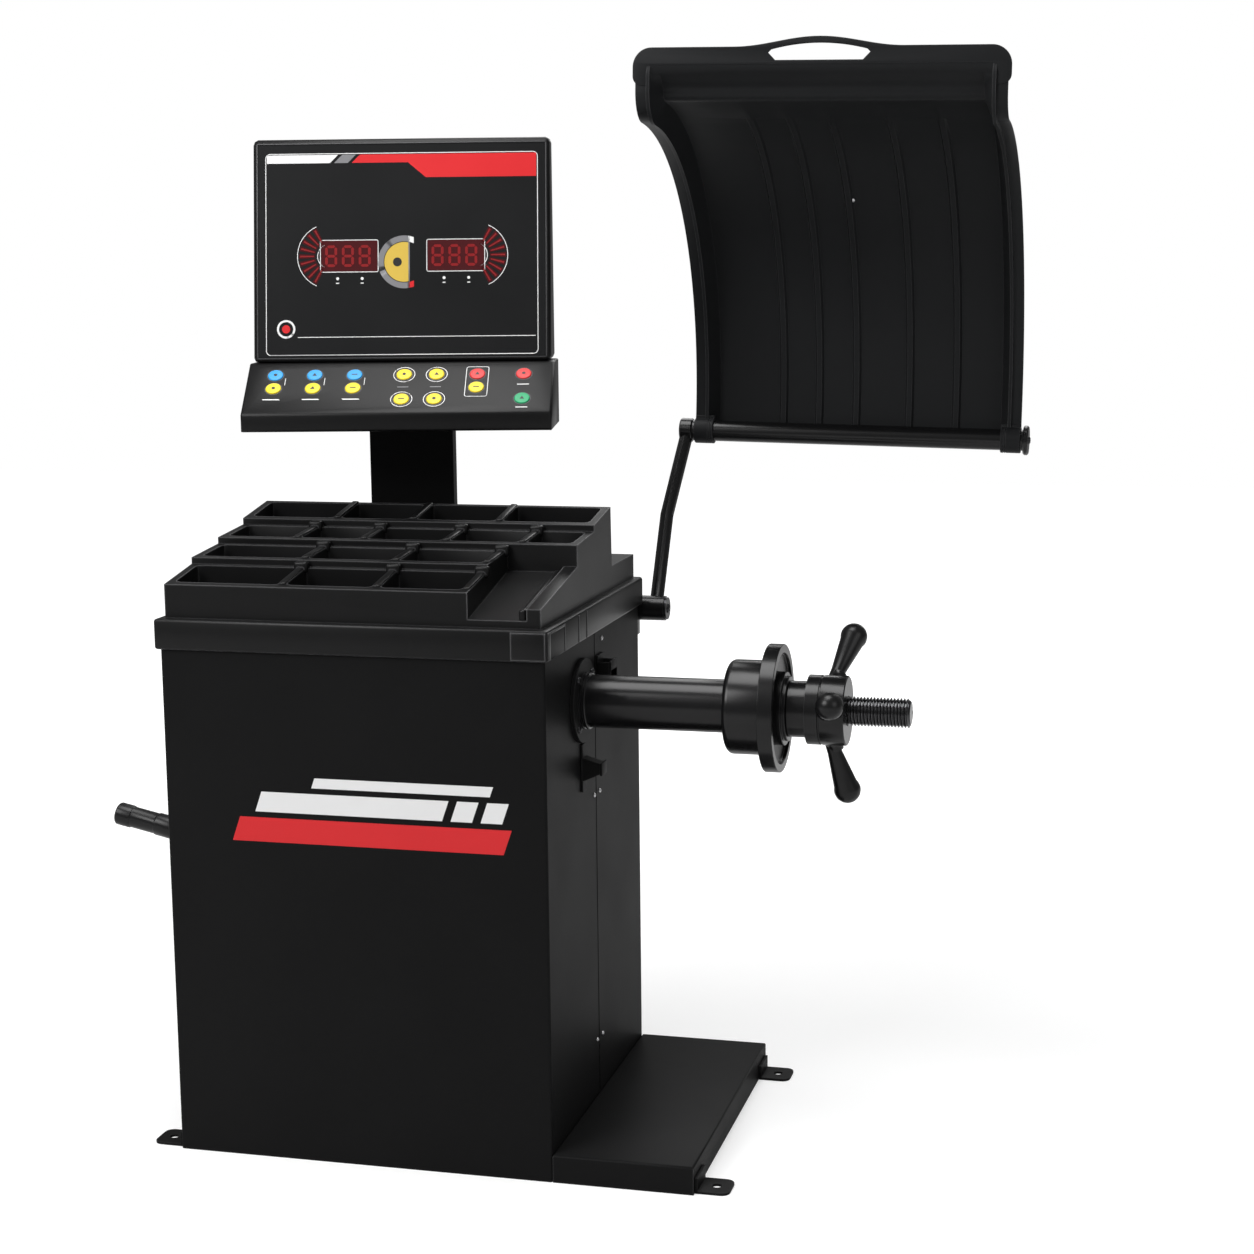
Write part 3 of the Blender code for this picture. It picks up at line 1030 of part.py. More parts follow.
def build_hood_shell(frame):
    middle = HOOD_WIDTH / 2 + CLAMP_WALL
    stations, header_foot = hood_stations()
    bm = bmesh.new()
    last_edges = []
    for lip, outward, share in stations:
        ring = []
        for x, depth in hood_section():
            place = lip + outward * depth * share
            ring.append(bm.verts.new((middle + x, place.x, place.y)))
        edges = [bm.edges.new(pair) for pair in zip(ring, ring[1:])]
        if last_edges:
            bmesh.ops.bridge_loops(bm, edges=last_edges + edges)
        last_edges = edges
    bmesh.ops.recalc_face_normals(bm, faces=bm.faces)
    mesh = bpy.data.meshes.new("hood_shell")
    bm.to_mesh(mesh)
    bm.free()
    shell = add_object("hood_shell", mesh, "hood_plastic", parent=frame)
    skin = shell.modifiers.new("wall", "SOLIDIFY")
    skin.thickness = HOOD_SHEET
    skin.offset = 0.0
    skin.use_even_offset = True
    build_hood_header(shell, frame, middle, header_foot)
    for name, x in (("left", CLAMP_WALL), ("right", HOOD_WIDTH + CLAMP_WALL - CLAMP_WIDTH)):
        outer = HOOD_TUBE_RADIUS + SEAT_GAP + CLAMP_WALL
        ring = turned_mesh(f"hood_clamp_{name}", rod_outline(outer, x, x + CLAMP_WIDTH), SMALL_SEGMENTS)
        join(shell, add_object(f"hood_clamp_{name}", ring, matrix=TO_X, parent=frame))
        lug = (x, -HOOD_SHEET, 0.0), (x + CLAMP_WIDTH, HOOD_SHEET * 1.5, HOOD_FOOT_RISE + 2 * HOOD_SHEET)
        join(shell, tool_box(f"hood_lug_{name}", *lug, parent=frame))
    bore = rod_outline(HOOD_TUBE_RADIUS + SEAT_GAP, -CLAMP_WIDTH, HOOD_WIDTH + 2 * CLAMP_WIDTH)
    tool = turned_mesh("hood_clamp_bore", bore, SMALL_SEGMENTS)
    cut(shell, add_object("hood_clamp_bore", tool, matrix=TO_X, parent=frame))
    length = HOOD_WIDTH + 2 * CLAMP_WALL
    tube = ring_outline(HOOD_TUBE_RADIUS, HOOD_TUBE_RADIUS - HOOD_TUBE_WALL, 0.0, length)
    cross_tube = turned_mesh("hood_tube", tube, SMALL_SEGMENTS, closed=True)
    add_object("hood_tube", cross_tube, "cabinet_paint", TO_X, frame)
    cap_start = length + SEAT_GAP
    cap = rod_outline(END_CAP_RADIUS, cap_start, cap_start + END_CAP_THICKNESS, SHEET)
    add_object("hood_end_cap", turned_mesh("hood_end_cap", cap, SMALL_SEGMENTS), "cabinet_paint", TO_X, frame)


def build_hood_header(shell, frame, middle, foot):
    # Upright front plate with rounded ears, an arched top over the hand slot, and the slot.
    half = HOOD_WIDTH / 2 + HEADER_EARS
    top = HEADER_HEIGHT - HEADER_LAP
    corner = HEADER_CORNER
    outline = arc((-half + corner, corner / 2), corner / 2, math.radians(270), math.radians(180), 4)
    outline = [(x - corner / 2, y) for x, y in outline]
    outline += arc((-half + corner, top - corner), corner, math.pi, math.pi / 2, 6)
    reach = HANDLE_BULGE_HALF
    rise = [top + HANDLE_BULGE * 0.5 * (1 + math.cos(math.pi * t / reach))
            for t in (reach * (i / 8 - 1) for i in range(17))]
    outline += [(reach * (i / 8 - 1), z) for i, z in enumerate(rise)]
    outline += arc((half - corner, top - corner), corner, math.pi / 2, 0.0, 6)
    outline += [(x + corner / 2, y)
                for x, y in arc((half - corner, corner / 2), corner / 2, 0.0, -math.pi / 2, 4)]
    slot_top = top + HANDLE_BULGE - SLOT_BELOW_TOP
    slot_low = slot_top - SLOT_HEIGHT
    shoulder = slot_low + SLOT_HEIGHT * 0.45
    slot = [(-SLOT_HALF * 0.86, slot_low), (SLOT_HALF * 0.86, slot_low), (SLOT_HALF, shoulder)]
    slot += [(SLOT_HALF * t, slot_top - SLOT_HEIGHT * 0.42 * t * t)
             for t in (0.9, 0.6, 0.3, 0.0, -0.3, -0.6, -0.9)]
    slot.append((-SLOT_HALF, shoulder))
    mesh = plate_mesh("hood_header", [outline, slot], HOOD_SHEET * 0.8)
    place = Matrix.Translation((middle, foot.x, foot.y + HEADER_LAP)) @ Matrix.Rotation(math.pi / 2, 4, "X")
    join(shell, add_object("hood_header", mesh, matrix=place, parent=frame))


# Hooks and storage peg
def build_hooks():
    right = HALF_WIDTH + SEAT_GAP
    plate = HOOK_PLATE
    reach, lip, tall = UPPER_HOOK_REACH, UPPER_HOOK_LIP, UPPER_HOOK_HEIGHT
    upper = [(0.0, 0.0), (reach, 0.0), (reach, lip), (reach - plate, lip), (reach - plate, plate),
             (plate, plate), (plate, tall), (0.0, tall)]
    mesh = plate_mesh("tool_hook_upper", [upper], UPPER_HOOK_HALF_WIDTH)
    stand = Matrix.Rotation(math.pi / 2, 4, "X")
    place = Matrix.Translation((right, UPPER_HOOK_Y, SPINDLE_Z + UPPER_HOOK_RISE))
    add_object("tool_hook_upper", mesh, "cabinet_paint", place @ stand)
    reach, nose, tall = LOWER_HOOK_REACH, LOWER_HOOK_NOSE, LOWER_HOOK_HALF_HEIGHT
    lower = [(0.0, -tall), (plate, -tall), (plate, -2 * nose), (reach, -nose), (reach, nose),
             (reach - nose, nose), (LOWER_HOOK_THROAT, 0.0), (plate, LOWER_HOOK_ROOT), (plate, tall),
             (0.0, tall)]
    mesh = plate_mesh("tool_hook_lower", [lower], LOWER_HOOK_HALF_WIDTH)
    place = Matrix.Translation((right, LOWER_HOOK_Y, SPINDLE_Z - LOWER_HOOK_DROP))
    add_object("tool_hook_lower", mesh, "cabinet_paint", place @ stand)
    turn = Matrix.Rotation(-math.pi / 2 + PEG_TILT, 4, "Y")
    slant = PEG_RADIUS * math.tan(PEG_TILT)
    place = Matrix.Translation((-HALF_WIDTH, PEG_Y, PEG_Z)) @ turn
    r, length = PEG_RADIUS, PEG_LENGTH
    outline = [(0.0, length), (r * 0.86, length), (r, length - r * 0.14), (r, length * 0.86),
               (r * 0.93, length * 0.85), (r * 0.93, length * 0.62), (r, length * 0.61), (r, length * 0.38),
               (r * 0.88, length * 0.37), (r * 0.88, -slant), (0.0, -slant)]
    peg_mesh = turned_mesh("accessory_peg", outline, SMALL_SEGMENTS)
    peg = add_object("accessory_peg", peg_mesh, "handle_plastic", place)
    flange_outline = rod_outline(PEG_FLANGE_RADIUS, SEAT_GAP, 2 * HOOK_PLATE)
    flange = turned_mesh("peg_flange", flange_outline, SMALL_SEGMENTS)
    upright = Matrix.Translation((-HALF_WIDTH, PEG_Y, PEG_Z)) @ Matrix.Rotation(-math.pi / 2, 4, "Y")
    join(peg, add_object("peg_flange", flange, matrix=upright))
    wall = tool_box("peg_wall", (-HALF_WIDTH - SEAT_GAP, PEG_Y - 0.1, PEG_Z - 0.1),
                    (-HALF_WIDTH + 0.1, PEG_Y + 0.1, PEG_Z + 0.1))
    cut(peg, wall)


build_base()
build_anchor_tabs()
build_cabinet()
build_tray()
build_spindle_carriers()
build_shaft()
build_nut()
build_drive()
build_power()
build_display()
build_hood()
build_hooks()
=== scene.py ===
import json
import math

import bmesh
import bpy
from mathutils import Matrix, Vector


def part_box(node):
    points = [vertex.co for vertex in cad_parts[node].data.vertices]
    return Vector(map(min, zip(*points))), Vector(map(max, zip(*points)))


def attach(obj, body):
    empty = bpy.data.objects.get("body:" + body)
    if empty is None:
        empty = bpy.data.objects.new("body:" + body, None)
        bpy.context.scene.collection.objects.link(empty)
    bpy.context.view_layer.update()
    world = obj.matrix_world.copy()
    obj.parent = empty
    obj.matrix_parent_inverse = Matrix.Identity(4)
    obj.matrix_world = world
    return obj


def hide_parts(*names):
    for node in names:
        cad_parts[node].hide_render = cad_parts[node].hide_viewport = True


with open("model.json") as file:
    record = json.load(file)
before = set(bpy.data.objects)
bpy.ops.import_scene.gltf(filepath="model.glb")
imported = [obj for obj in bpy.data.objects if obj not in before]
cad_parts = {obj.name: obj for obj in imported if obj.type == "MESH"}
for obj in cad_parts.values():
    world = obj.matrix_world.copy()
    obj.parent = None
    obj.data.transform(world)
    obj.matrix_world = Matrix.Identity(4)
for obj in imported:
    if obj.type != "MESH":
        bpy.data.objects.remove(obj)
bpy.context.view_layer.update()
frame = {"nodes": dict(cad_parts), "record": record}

nodes = frame["nodes"]
bodies = frame["record"]["behaviour"]["bodies"]
bodyOfNode = {node: body for body, members in bodies.items() for node in members}
slotOfNode = {part["node"]: part["material_slot"] for part in frame["record"]["subparts"]}
toX = Matrix(((0, 0, 1), (1, 0, 0), (0, 1, 0))).to_4x4()  # a piece turned about Z lies along X
upright = Matrix.Rotation(math.pi / 2, 4, "X")  # a flat drawing stands up and faces the front

# Camera at the photograph's place
view = {"place": (1.1243, -3.1162, 1.2523), "yaw": 14.48, "pitch": 9.34, "roll": -0.605, "lens": 66.81,
        "sensor": 36.0}


def show(thing):
    bpy.context.scene.collection.objects.link(thing)


def placeCamera():
    yaw, pitch, roll = (math.radians(view[key]) for key in ("yaw", "pitch", "roll"))
    camera = bpy.data.objects.new("camera", bpy.data.cameras.new("camera"))
    camera.data.lens = view["lens"]
    camera.data.sensor_width = view["sensor"]
    aim = Matrix.Rotation(yaw, 4, "Z") @ Matrix.Rotation(math.pi / 2 - pitch, 4, "X")
    aim = aim @ Matrix.Rotation(roll, 4, "Z")
    camera.matrix_world = Matrix.Translation(view["place"]) @ aim
    show(camera)
    bpy.context.scene.camera = camera


placeCamera()
print("camera placed")


# Finishes
def feed(node, inputs):
    for label, value in inputs.items():
        if isinstance(value, bpy.types.NodeSocket):
            node.id_data.links.new(value, node.inputs[label])
        else:
            node.inputs[label].default_value = value


def addNode(tree, kind, inputs=None, **settings):
    node = tree.nodes.new("ShaderNode" + kind)
    for key, value in settings.items():
        setattr(node, key, value)
    feed(node, inputs or {})
    return node.outputs


def multiply(tree, first, second):
    return addNode(tree, "Math", {0: first, 1: second}, operation="MULTIPLY")["Value"]


def smoothRamp(tree, value, low, high, least=0.0, most=1.0):
    ends = {"Value": value, "From Min": low, "From Max": high, "To Min": least, "To Max": most}
    return addNode(tree, "MapRange", ends, interpolation_type="SMOOTHSTEP")["Result"]


def mixColour(tree, share, first, second, most):
    first, second = ((*colour, 1.0) if isinstance(colour, tuple) else colour for colour in (first, second))
    inputs = {"Factor": multiply(tree, share, most), "A": first, "B": second}
    return addNode(tree, "Mix", inputs, data_type="RGBA")["Result"]


def newGroup(name, inputs, outputs):
    group = bpy.data.node_groups.new(name, "ShaderNodeTree")
    for label, value in inputs.items():
        socket = group.interface.new_socket(label, in_out="INPUT", socket_type="NodeSocketFloat")
        socket.default_value = value
    for label in outputs:
        group.interface.new_socket(label, in_out="OUTPUT", socket_type="NodeSocketFloat")
    return group, group.nodes.new("NodeGroupInput").outputs, group.nodes.new("NodeGroupOutput")


# Fine surface grain with slow waviness; Height feeds a bump, Tone varies colour and roughness
def makeGrainGroup():
    inputs = {"GrainScale": 900.0, "ToneScale": 7.0}
    group, given, result = newGroup("surfaceGrain", inputs, ("Height", "Tone"))
    place = addNode(group, "TexCoord")["Object"]
    looks = {"Height": ("GrainScale", 2.0, 0.6), "Tone": ("ToneScale", 4.0, 0.55)}
    for label, (scale, detail, rough) in looks.items():
        inputs = {"Vector": place, "Scale": given[scale], "Detail": detail, "Roughness": rough}
        feed(result, {label: addNode(group, "TexNoise", inputs)["Fac"]})
    return group


# Rings left by a lathe, for pieces turned about X
def makeLatheGroup():
    group, given, result = newGroup("latheRings", {"RingScale": 700.0}, ("Height", "Tone"))
    place = addNode(group, "TexCoord")["Object"]
    along = addNode(group, "SeparateXYZ", {"Vector": place})["X"]
    line = addNode(group, "CombineXYZ", {"X": along})["Vector"]
    inputs = {"Vector": line, "Scale": given["RingScale"], "Detail": 3.0, "Roughness": 0.7}
    smear = addNode(group, "TexNoise", {"Vector": place, "Scale": 38.0, "Detail": 4.0})["Fac"]
    feed(result, {"Height": addNode(group, "TexNoise", inputs)["Fac"], "Tone": smear})
    return group


# Light dust and rubbed marks: a sparse mask
scuffs = {"scale": 26.0, "edge": 0.62, "full": 0.85, "stretch": (1.0, 1.0, 3.0), "turn": (0.4, 0.3, 0.7)}


def makeScuffGroup():
    inputs = {"ScuffScale": scuffs["scale"], "Edge": scuffs["edge"]}
    group, given, result = newGroup("handlingScuffs", inputs, ("Mask",))
    place = addNode(group, "TexCoord")["Object"]
    inputs = {"Vector": place, "Scale": scuffs["stretch"], "Rotation": scuffs["turn"]}
    place = addNode(group, "Mapping", inputs)["Vector"]
    inputs = {"Vector": place, "Scale": given["ScuffScale"], "Detail": 8.0, "Roughness": 0.7}
    blots = addNode(group, "TexNoise", inputs)["Fac"]
    feed(result, {"Mask": smoothRamp(group, blots, given["Edge"], scuffs["full"])})
    return group


# Painted highlight along convex edges: the colour lightens where rounded normals part from the face's own,
# and is kept off hollows
edgeHighlightLook = {"radius": 0.003, "agree": (0.99, 0.78), "shelter": 0.012, "open": (0.6, 0.9)}


def makeEdgeHighlightGroup():
    group, given, result = newGroup("paintedEdgeHighlights", {"Radius": edgeHighlightLook["radius"]}, ("Mask",))
    rounded = addNode(group, "Bevel", {"Radius": given["Radius"]}, samples=6)["Normal"]
    face = addNode(group, "NewGeometry")["Normal"]
    agree = addNode(group, "VectorMath", {0: rounded, 1: face}, operation="DOT_PRODUCT")["Value"]
    inputs = {"Distance": edgeHighlightLook["shelter"]}
    shelter = addNode(group, "AmbientOcclusion", inputs, samples=4, only_local=True)["AO"]
    paintedHighlight = smoothRamp(group, agree, *edgeHighlightLook["agree"])
    clear = smoothRamp(group, shelter, *edgeHighlightLook["open"])
    feed(result, {"Mask": multiply(group, paintedHighlight, clear)})
    return group


grainGroup = makeGrainGroup()
latheGroup = makeLatheGroup()
scuffGroup = makeScuffGroup()
edgeHighlightGroup = makeEdgeHighlightGroup()

# How a finish is toned and scuffed, and the colour of the highlight painted on its edges
wearAndEdgeHighlight = {"tone": 0.35, "toneGain": 1.5, "toneLift": 0.004, "scuffGain": 1.6, "scuffLift": 0.02,
        "paintedHighlight": (0.13, 0.13, 0.134), "coatRough": 0.12, "smoothest": 0.05, "grainDepth": 0.0004}


# One finish: base colour toned by slow noise, scuffs, a painted highlight along its edges, roughness that
# wanders, and a fine bump
def makeFinish(name, colour, rough, metal=0.0, grain=900.0, bump=0.08, scuff=0.3, coat=0.0, turned=False,
               wander=0.06, specular=0.32, edge=0.0, highlightRadius=edgeHighlightLook["radius"]):
    material = bpy.data.materials.new(name)
    material.use_nodes = True
    tree = material.node_tree
    scale, group = ("RingScale", latheGroup) if turned else ("GrainScale", grainGroup)
    pattern = addNode(tree, "Group", {scale: grain}, node_tree=group)
    lighter = tuple(min(1.0, c * wearAndEdgeHighlight["toneGain"] + wearAndEdgeHighlight["toneLift"]) for c in colour)
    rubbed = tuple(c * wearAndEdgeHighlight["scuffGain"] + wearAndEdgeHighlight["scuffLift"] for c in colour)
    toned = mixColour(tree, pattern["Tone"], colour, lighter, wearAndEdgeHighlight["tone"])
    scuffedAndHighlighted = mixColour(tree, addNode(tree, "Group", node_tree=scuffGroup)["Mask"], toned, rubbed, scuff)
    # edge sets how strongly the painted edge highlight is mixed into the base colour
    if edge:
        paintedHighlight = addNode(tree, "Group", {"Radius": highlightRadius}, node_tree=edgeHighlightGroup)["Mask"]
        scuffedAndHighlighted = mixColour(tree, paintedHighlight, scuffedAndHighlighted, wearAndEdgeHighlight["paintedHighlight"], edge)
    spread = {"Value": pattern["Tone"], "To Min": max(wearAndEdgeHighlight["smoothest"], rough - wander),
              "To Max": min(1.0, rough + wander)}
    relief = {"Height": pattern["Height"], "Strength": bump, "Distance": wearAndEdgeHighlight["grainDepth"]}
    shader = tree.nodes["Principled BSDF"]
    feed(shader, {"Base Color": scuffedAndHighlighted, "Roughness": addNode(tree, "MapRange", spread)["Result"],
                  "Normal": addNode(tree, "Bump", relief)["Normal"], "Metallic": metal,
                  "Specular IOR Level": specular})
    if coat:
        feed(shader, {"Coat Weight": coat, "Coat Roughness": wearAndEdgeHighlight["coatRough"]})
    return material


keyCap = {"rough": 0.36, "grain": 1800.0, "bump": 0.05, "scuff": 0.1}
inkFilm = {"rough": 0.42, "grain": 2200.0, "bump": 0.03, "scuff": 0.05}
# edge and its radius set each finish's painted highlight along convex edges
finishes = {
    "cabinet_paint": makeFinish("blackPowderCoat", (0.0078, 0.0078, 0.0080), 0.48, grain=1500.0, bump=0.10,
        scuff=0.06, specular=0.05, edge=0.32),
    "tray_plastic": makeFinish("trayPlastic", (0.0046, 0.0046, 0.0048), 0.36, grain=1100.0, bump=0.12,
        scuff=0.06, specular=0.18, edge=1.0, highlightRadius=0.004),
    "hood_plastic": makeFinish("hoodPlastic", (0.0125, 0.0130, 0.0138), 0.44, grain=800.0, bump=0.10,
        scuff=0.04, specular=0.10, edge=0.55, highlightRadius=0.002),
    "spindle_steel": makeFinish("blackenedSteel", (0.0050, 0.0050, 0.0053), 0.24, grain=1600.0, bump=0.03,
        scuff=0.02, turned=True, specular=0.30, wander=0.015, edge=0.22,
        highlightRadius=0.002),
    "thread_steel": makeFinish("oiledThreadSteel", (0.060, 0.060, 0.062), 0.22, 0.9, bump=0.02, scuff=0.05,
        turned=True, wander=0.02),
    "plain_steel": makeFinish("machinedSteel", (0.42, 0.42, 0.43), 0.34, 1.0, turned=True),
    "handle_plastic": makeFinish("handlePlastic", (0.0052, 0.0052, 0.0055), 0.30, grain=1400.0, bump=0.06,
        scuff=0.04, wander=0.03, specular=0.28),
    "panel_film": makeFinish("screenFilm", (0.0072, 0.0075, 0.0080), 0.42, grain=2200.0, bump=0.05,
        scuff=0.05, specular=0.16),
    "key_blue": makeFinish("blueKey", (0.03, 0.30, 0.68), **keyCap),
    "key_yellow": makeFinish("yellowKey", (0.84, 0.60, 0.02), **keyCap),
    "key_red": makeFinish("redKey", (0.60, 0.03, 0.03), **keyCap),
    "key_green": makeFinish("greenKey", (0.01, 0.30, 0.12), **keyCap),
    "belt_rubber": makeFinish("beltRubber", (0.02, 0.02, 0.02), 0.75, bump=0.3),
    "motor_paint": makeFinish("motorEnamel", (0.10, 0.11, 0.12), 0.45, 0.2, bump=0.1),
    "board_green": makeFinish("boardLaminate", (0.02, 0.14, 0.06), 0.45, grain=500.0, bump=0.1),
    "inlet_plastic": makeFinish("inletPlastic", (0.016, 0.016, 0.016), 0.48, grain=1200.0, bump=0.1),
}
tubeBlack = makeFinish("glossBlackTube", (0.0050, 0.0050, 0.0053), 0.25, grain=1500.0, bump=0.05, scuff=0.03,
        wander=0.03, specular=0.34, edge=0.25, highlightRadius=0.002)
screwSteel = makeFinish("blackenedScrew", (0.035, 0.035, 0.037), 0.32, 0.9, 1200.0, 0.06, scuff=0.4)
seamBlack = makeFinish("seamShadow", (0.0012, 0.0012, 0.0012), 0.80, bump=0.05, specular=0.02)
brightScrew = makeFinish("zincScrew", (0.55, 0.55, 0.56), 0.3, 1.0, 1200.0, 0.06)
printWhite = makeFinish("printedWhite", (0.80, 0.80, 0.80), 0.42, grain=2200.0, bump=0.03, scuff=0.04)
printRed = makeFinish("printedRed", (0.62, 0.018, 0.022), **inkFilm)
printGrey = makeFinish("printedGrey", (0.20, 0.20, 0.21), **inkFilm)
printGold = makeFinish("printedGold", (0.62, 0.43, 0.07), **inkFilm)
printDark = makeFinish("printedDark", (0.02, 0.02, 0.022), **inkFilm)
windowRed = makeFinish("tintedWindow", (0.060, 0.006, 0.008), 0.16, grain=2200.0, bump=0.02, scuff=0.03,
        coat=0.4)
segmentRed = makeFinish("unlitSegment", (0.23, 0.012, 0.014), 0.3, grain=2200.0, bump=0.02, scuff=0.03)
print("finishes made")


# Pieces
def addPiece(name, mesh, body, slot, material=None, smooth=32.0):
    mesh.materials.clear()
    mesh.materials.append(material or finishes[slot])
    mesh.shade_smooth()
    mesh.set_sharp_from_angle(angle=math.radians(smooth))
    piece = bpy.data.objects.new(name, mesh)
    show(piece)
    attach(piece, body)
    return piece


def meshFrom(bm, name, matrix=None):
    bmesh.ops.remove_doubles(bm, verts=bm.verts, dist=0.000001)
    bmesh.ops.recalc_face_normals(bm, faces=bm.faces)
    if matrix:
        bmesh.ops.transform(bm, matrix=matrix, verts=bm.verts)
    mesh = bpy.data.meshes.new(name)
    bm.to_mesh(mesh)
    bm.free()
    return mesh


def addShape(name, bm, slot, material=None, place=None, body="machine"):
    return addPiece(name, meshFrom(bm, name, place), body, slot, material)


# A softened copy of a CAD node: merged, flat triangles dissolved, edges rounded
softEdge = {"merge": 0.00001, "flat": 0.6, "angle": 30.0, "steps": 3}


def softenEdges(piece, width, steps):
    rounding = piece.modifiers.new("softEdges", "BEVEL")
    rounding.width = width
    rounding.segments = steps
    rounding.limit_method = "ANGLE"
    rounding.angle_limit = math.radians(softEdge["angle"])
    return rounding


def dressNode(node, edge, material=None):
    bm = bmesh.new()
    bm.from_mesh(nodes[node].data)
    bmesh.ops.remove_doubles(bm, verts=bm.verts, dist=softEdge["merge"])
    bmesh.ops.dissolve_limit(bm, angle_limit=math.radians(softEdge["flat"]), verts=bm.verts, edges=bm.edges)
    mesh = bpy.data.meshes.new(node + "Dressed")
    bm.to_mesh(mesh)
    bm.free()
    piece = addPiece(node + "Dressed", mesh, bodyOfNode[node], slotOfNode[node], material)
    if edge:
        softenEdges(piece, edge, softEdge["steps"]).harden_normals = True
    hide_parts(node)


# A turned piece: (radius, height) points down the outer side, spun about Z
def turn(outline, segments=96):
    bm = bmesh.new()
    ring = [bm.verts.new((radius, 0.0, height)) for radius, height in outline]
    edges = [bm.edges.new(pair) for pair in zip(ring, ring[1:])]
    bmesh.ops.spin(bm, geom=ring + edges, cent=(0, 0, 0), axis=(0, 0, 1), angle=math.tau, steps=segments,
                   use_merge=True, use_normal_flip=False)
    return bm


def arc(centre, radius, start, end, count):
    angles = [math.radians(start + (end - start) * i / count) for i in range(count + 1)]
    return [(centre[0] + radius * math.cos(angle), centre[1] + radius * math.sin(angle)) for angle in angles]


def axisOf(node):
    low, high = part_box(node)
    return Matrix.Translation((0.0, (low[1] + high[1]) / 2, (low[2] + high[2]) / 2)) @ toX


def radiusOf(node):
    low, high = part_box(node)
    return (high[2] - low[2]) / 2


def roundedBlock(bm, size, centre, radius, tilt=0.0, steps=3):
    block = bmesh.ops.create_cube(bm, size=1.0)["verts"]
    bmesh.ops.scale(bm, vec=size, verts=block)
    edges = list({edge for vert in block for edge in vert.link_edges})
    rounded = bmesh.ops.bevel(bm, geom=edges, offset=radius, segments=steps, profile=0.5, affect="EDGES",
                              material=-1)["verts"]
    bmesh.ops.rotate(bm, verts=rounded, cent=(0, 0, 0), matrix=Matrix.Rotation(tilt, 3, "X"))
    bmesh.ops.translate(bm, vec=centre, verts=rounded)


# Blocks of one piece: size, middle and rounding of each, and a tilt for some
def addBlocks(name, blocks, slot, material=None, steps=3):
    bm = bmesh.new()
    for block in blocks:
        roundedBlock(bm, *block, steps=steps)
    addShape(name, bm, slot, material)


# How far each node's edges are rounded
softened = {"cabinet_front_shell": 0.0, "cabinet_rear_cover": 0.0, "side_platform": 0.0,
            "weight_tray": 0.0024, "display_housing": 0.0, "keypad_console": 0.0, "display_post": 0.0016,
            "tool_hook_upper": 0.0008, "tool_hook_lower": 0.0008, "anchor_tab_front_left": 0.0008,
            "anchor_tab_rear_left": 0.0008, "anchor_tab_front_right": 0.0008, "anchor_tab_rear_right": 0.0008,
            "display_panel": 0.0004, "accessory_peg": 0.001, "housing_side_plate": 0.0008,
            "spindle_housing": 0.0006, "backing_flange": 0.0010, "pressure_sleeve": 0.0010,
            "quick_nut": 0.0006, "nut_handle_1": 0.0, "nut_handle_2": 0.0, "nut_handle_3": 0.0}
glossed = {"hood_pivot_bracket": 0.001, "hood_arm": 0.001, "hood_tube": 0.0, "hood_end_cap": 0.0}
for node, edge in softened.items():
    dressNode(node, edge)
for node, edge in glossed.items():
    dressNode(node, edge, tubeBlack)
for node, thing in nodes.items():
    thing.data.materials.clear()
    thing.data.materials.append(screwSteel if node == "hood_pivot_shaft" else finishes[slotOfNode[node]])
print("nodes dressed")


def roundBox(left, low, right, high, radius, count=5):
    corners = ((right - radius, low + radius, -90), (right - radius, high - radius, 0),
               (left + radius, high - radius, 90), (left + radius, low + radius, 180))
    return [point for x, y, start in corners for point in arc((x, y), radius, start, start + 90, count)]


# Rings of points joined one to the next
def loft(rings, closed=False):
    bm = bmesh.new()
    last = []
    for ring in rings:
        corners = [bm.verts.new(point) for point in ring]
        pairs = list(zip(corners, corners[1:] + corners[:1] if closed else corners[1:]))
        edges = [bm.edges.new(pair) for pair in pairs]
        if last:
            bmesh.ops.bridge_loops(bm, edges=last + edges)
        last = edges
    return bm


# A flat plate from an outline and its holes, with rounded edges
def plateMesh(outlines, thickness, edge):
    curve = bpy.data.curves.new("plateOutline", "CURVE")
    curve.dimensions = "2D"
    curve.fill_mode = "BOTH"
    curve.extrude = thickness / 2 - edge
    curve.bevel_depth = edge
    curve.bevel_resolution = 2
    curve.offset = -edge
    for outline in outlines:
        spline = curve.splines.new("POLY")
        spline.points.add(len(outline) - 1)
        for point, (x, y) in zip(spline.points, outline):
            point.co = (x, y, 0.0, 1.0)
        spline.use_cyclic_u = True
    holder = bpy.data.objects.new("plateOutline", curve)
    show(holder)
    depsgraph = bpy.context.evaluated_depsgraph_get()
    flat = bpy.data.meshes.new_from_object(holder.evaluated_get(depsgraph))
    bm = bmesh.new()
    bm.from_mesh(flat)
    bpy.data.objects.remove(holder)
    bpy.data.curves.remove(curve)
    bpy.data.meshes.remove(flat)
    return bm


# Hood: a ribbed panel swept up an arc and bent forward into an upright header, with a bead inside each lip
hood = {"place": (0.3165, 0.444, 0.9638), "droop": 1.2, "width": 0.504, "radius": 0.410, "lean": 4.0,
        "sheet": 0.003, "lip": 0.020, "depth": 0.028, "wallRun": 0.012, "footRise": 0.0185, "bend": 0.040,
        "arcSteps": 72, "bendSteps": 24, "riseSteps": 10, "ribs": (-0.118, -0.062, -0.004, 0.078, 0.150),
        "ribWidth": 0.0125, "ribTop": 0.0060, "ribHeight": 0.0042, "ribFade": (0.70, 1.0), "bead": 0.0026,
        "beadHeight": 0.0040, "beadProfile": ((1.5, 0.0), (1.2, 1.0), (0.3, 1.0), (0.0, 0.0)),
        "beadFade": (0.6, 0.95), "hollowFade": (0.0, 0.92), "rise": 0.036, "skirt": 0.026, "edge": 0.0009,
        "edgeSteps": 2, "smooth": 34.0}
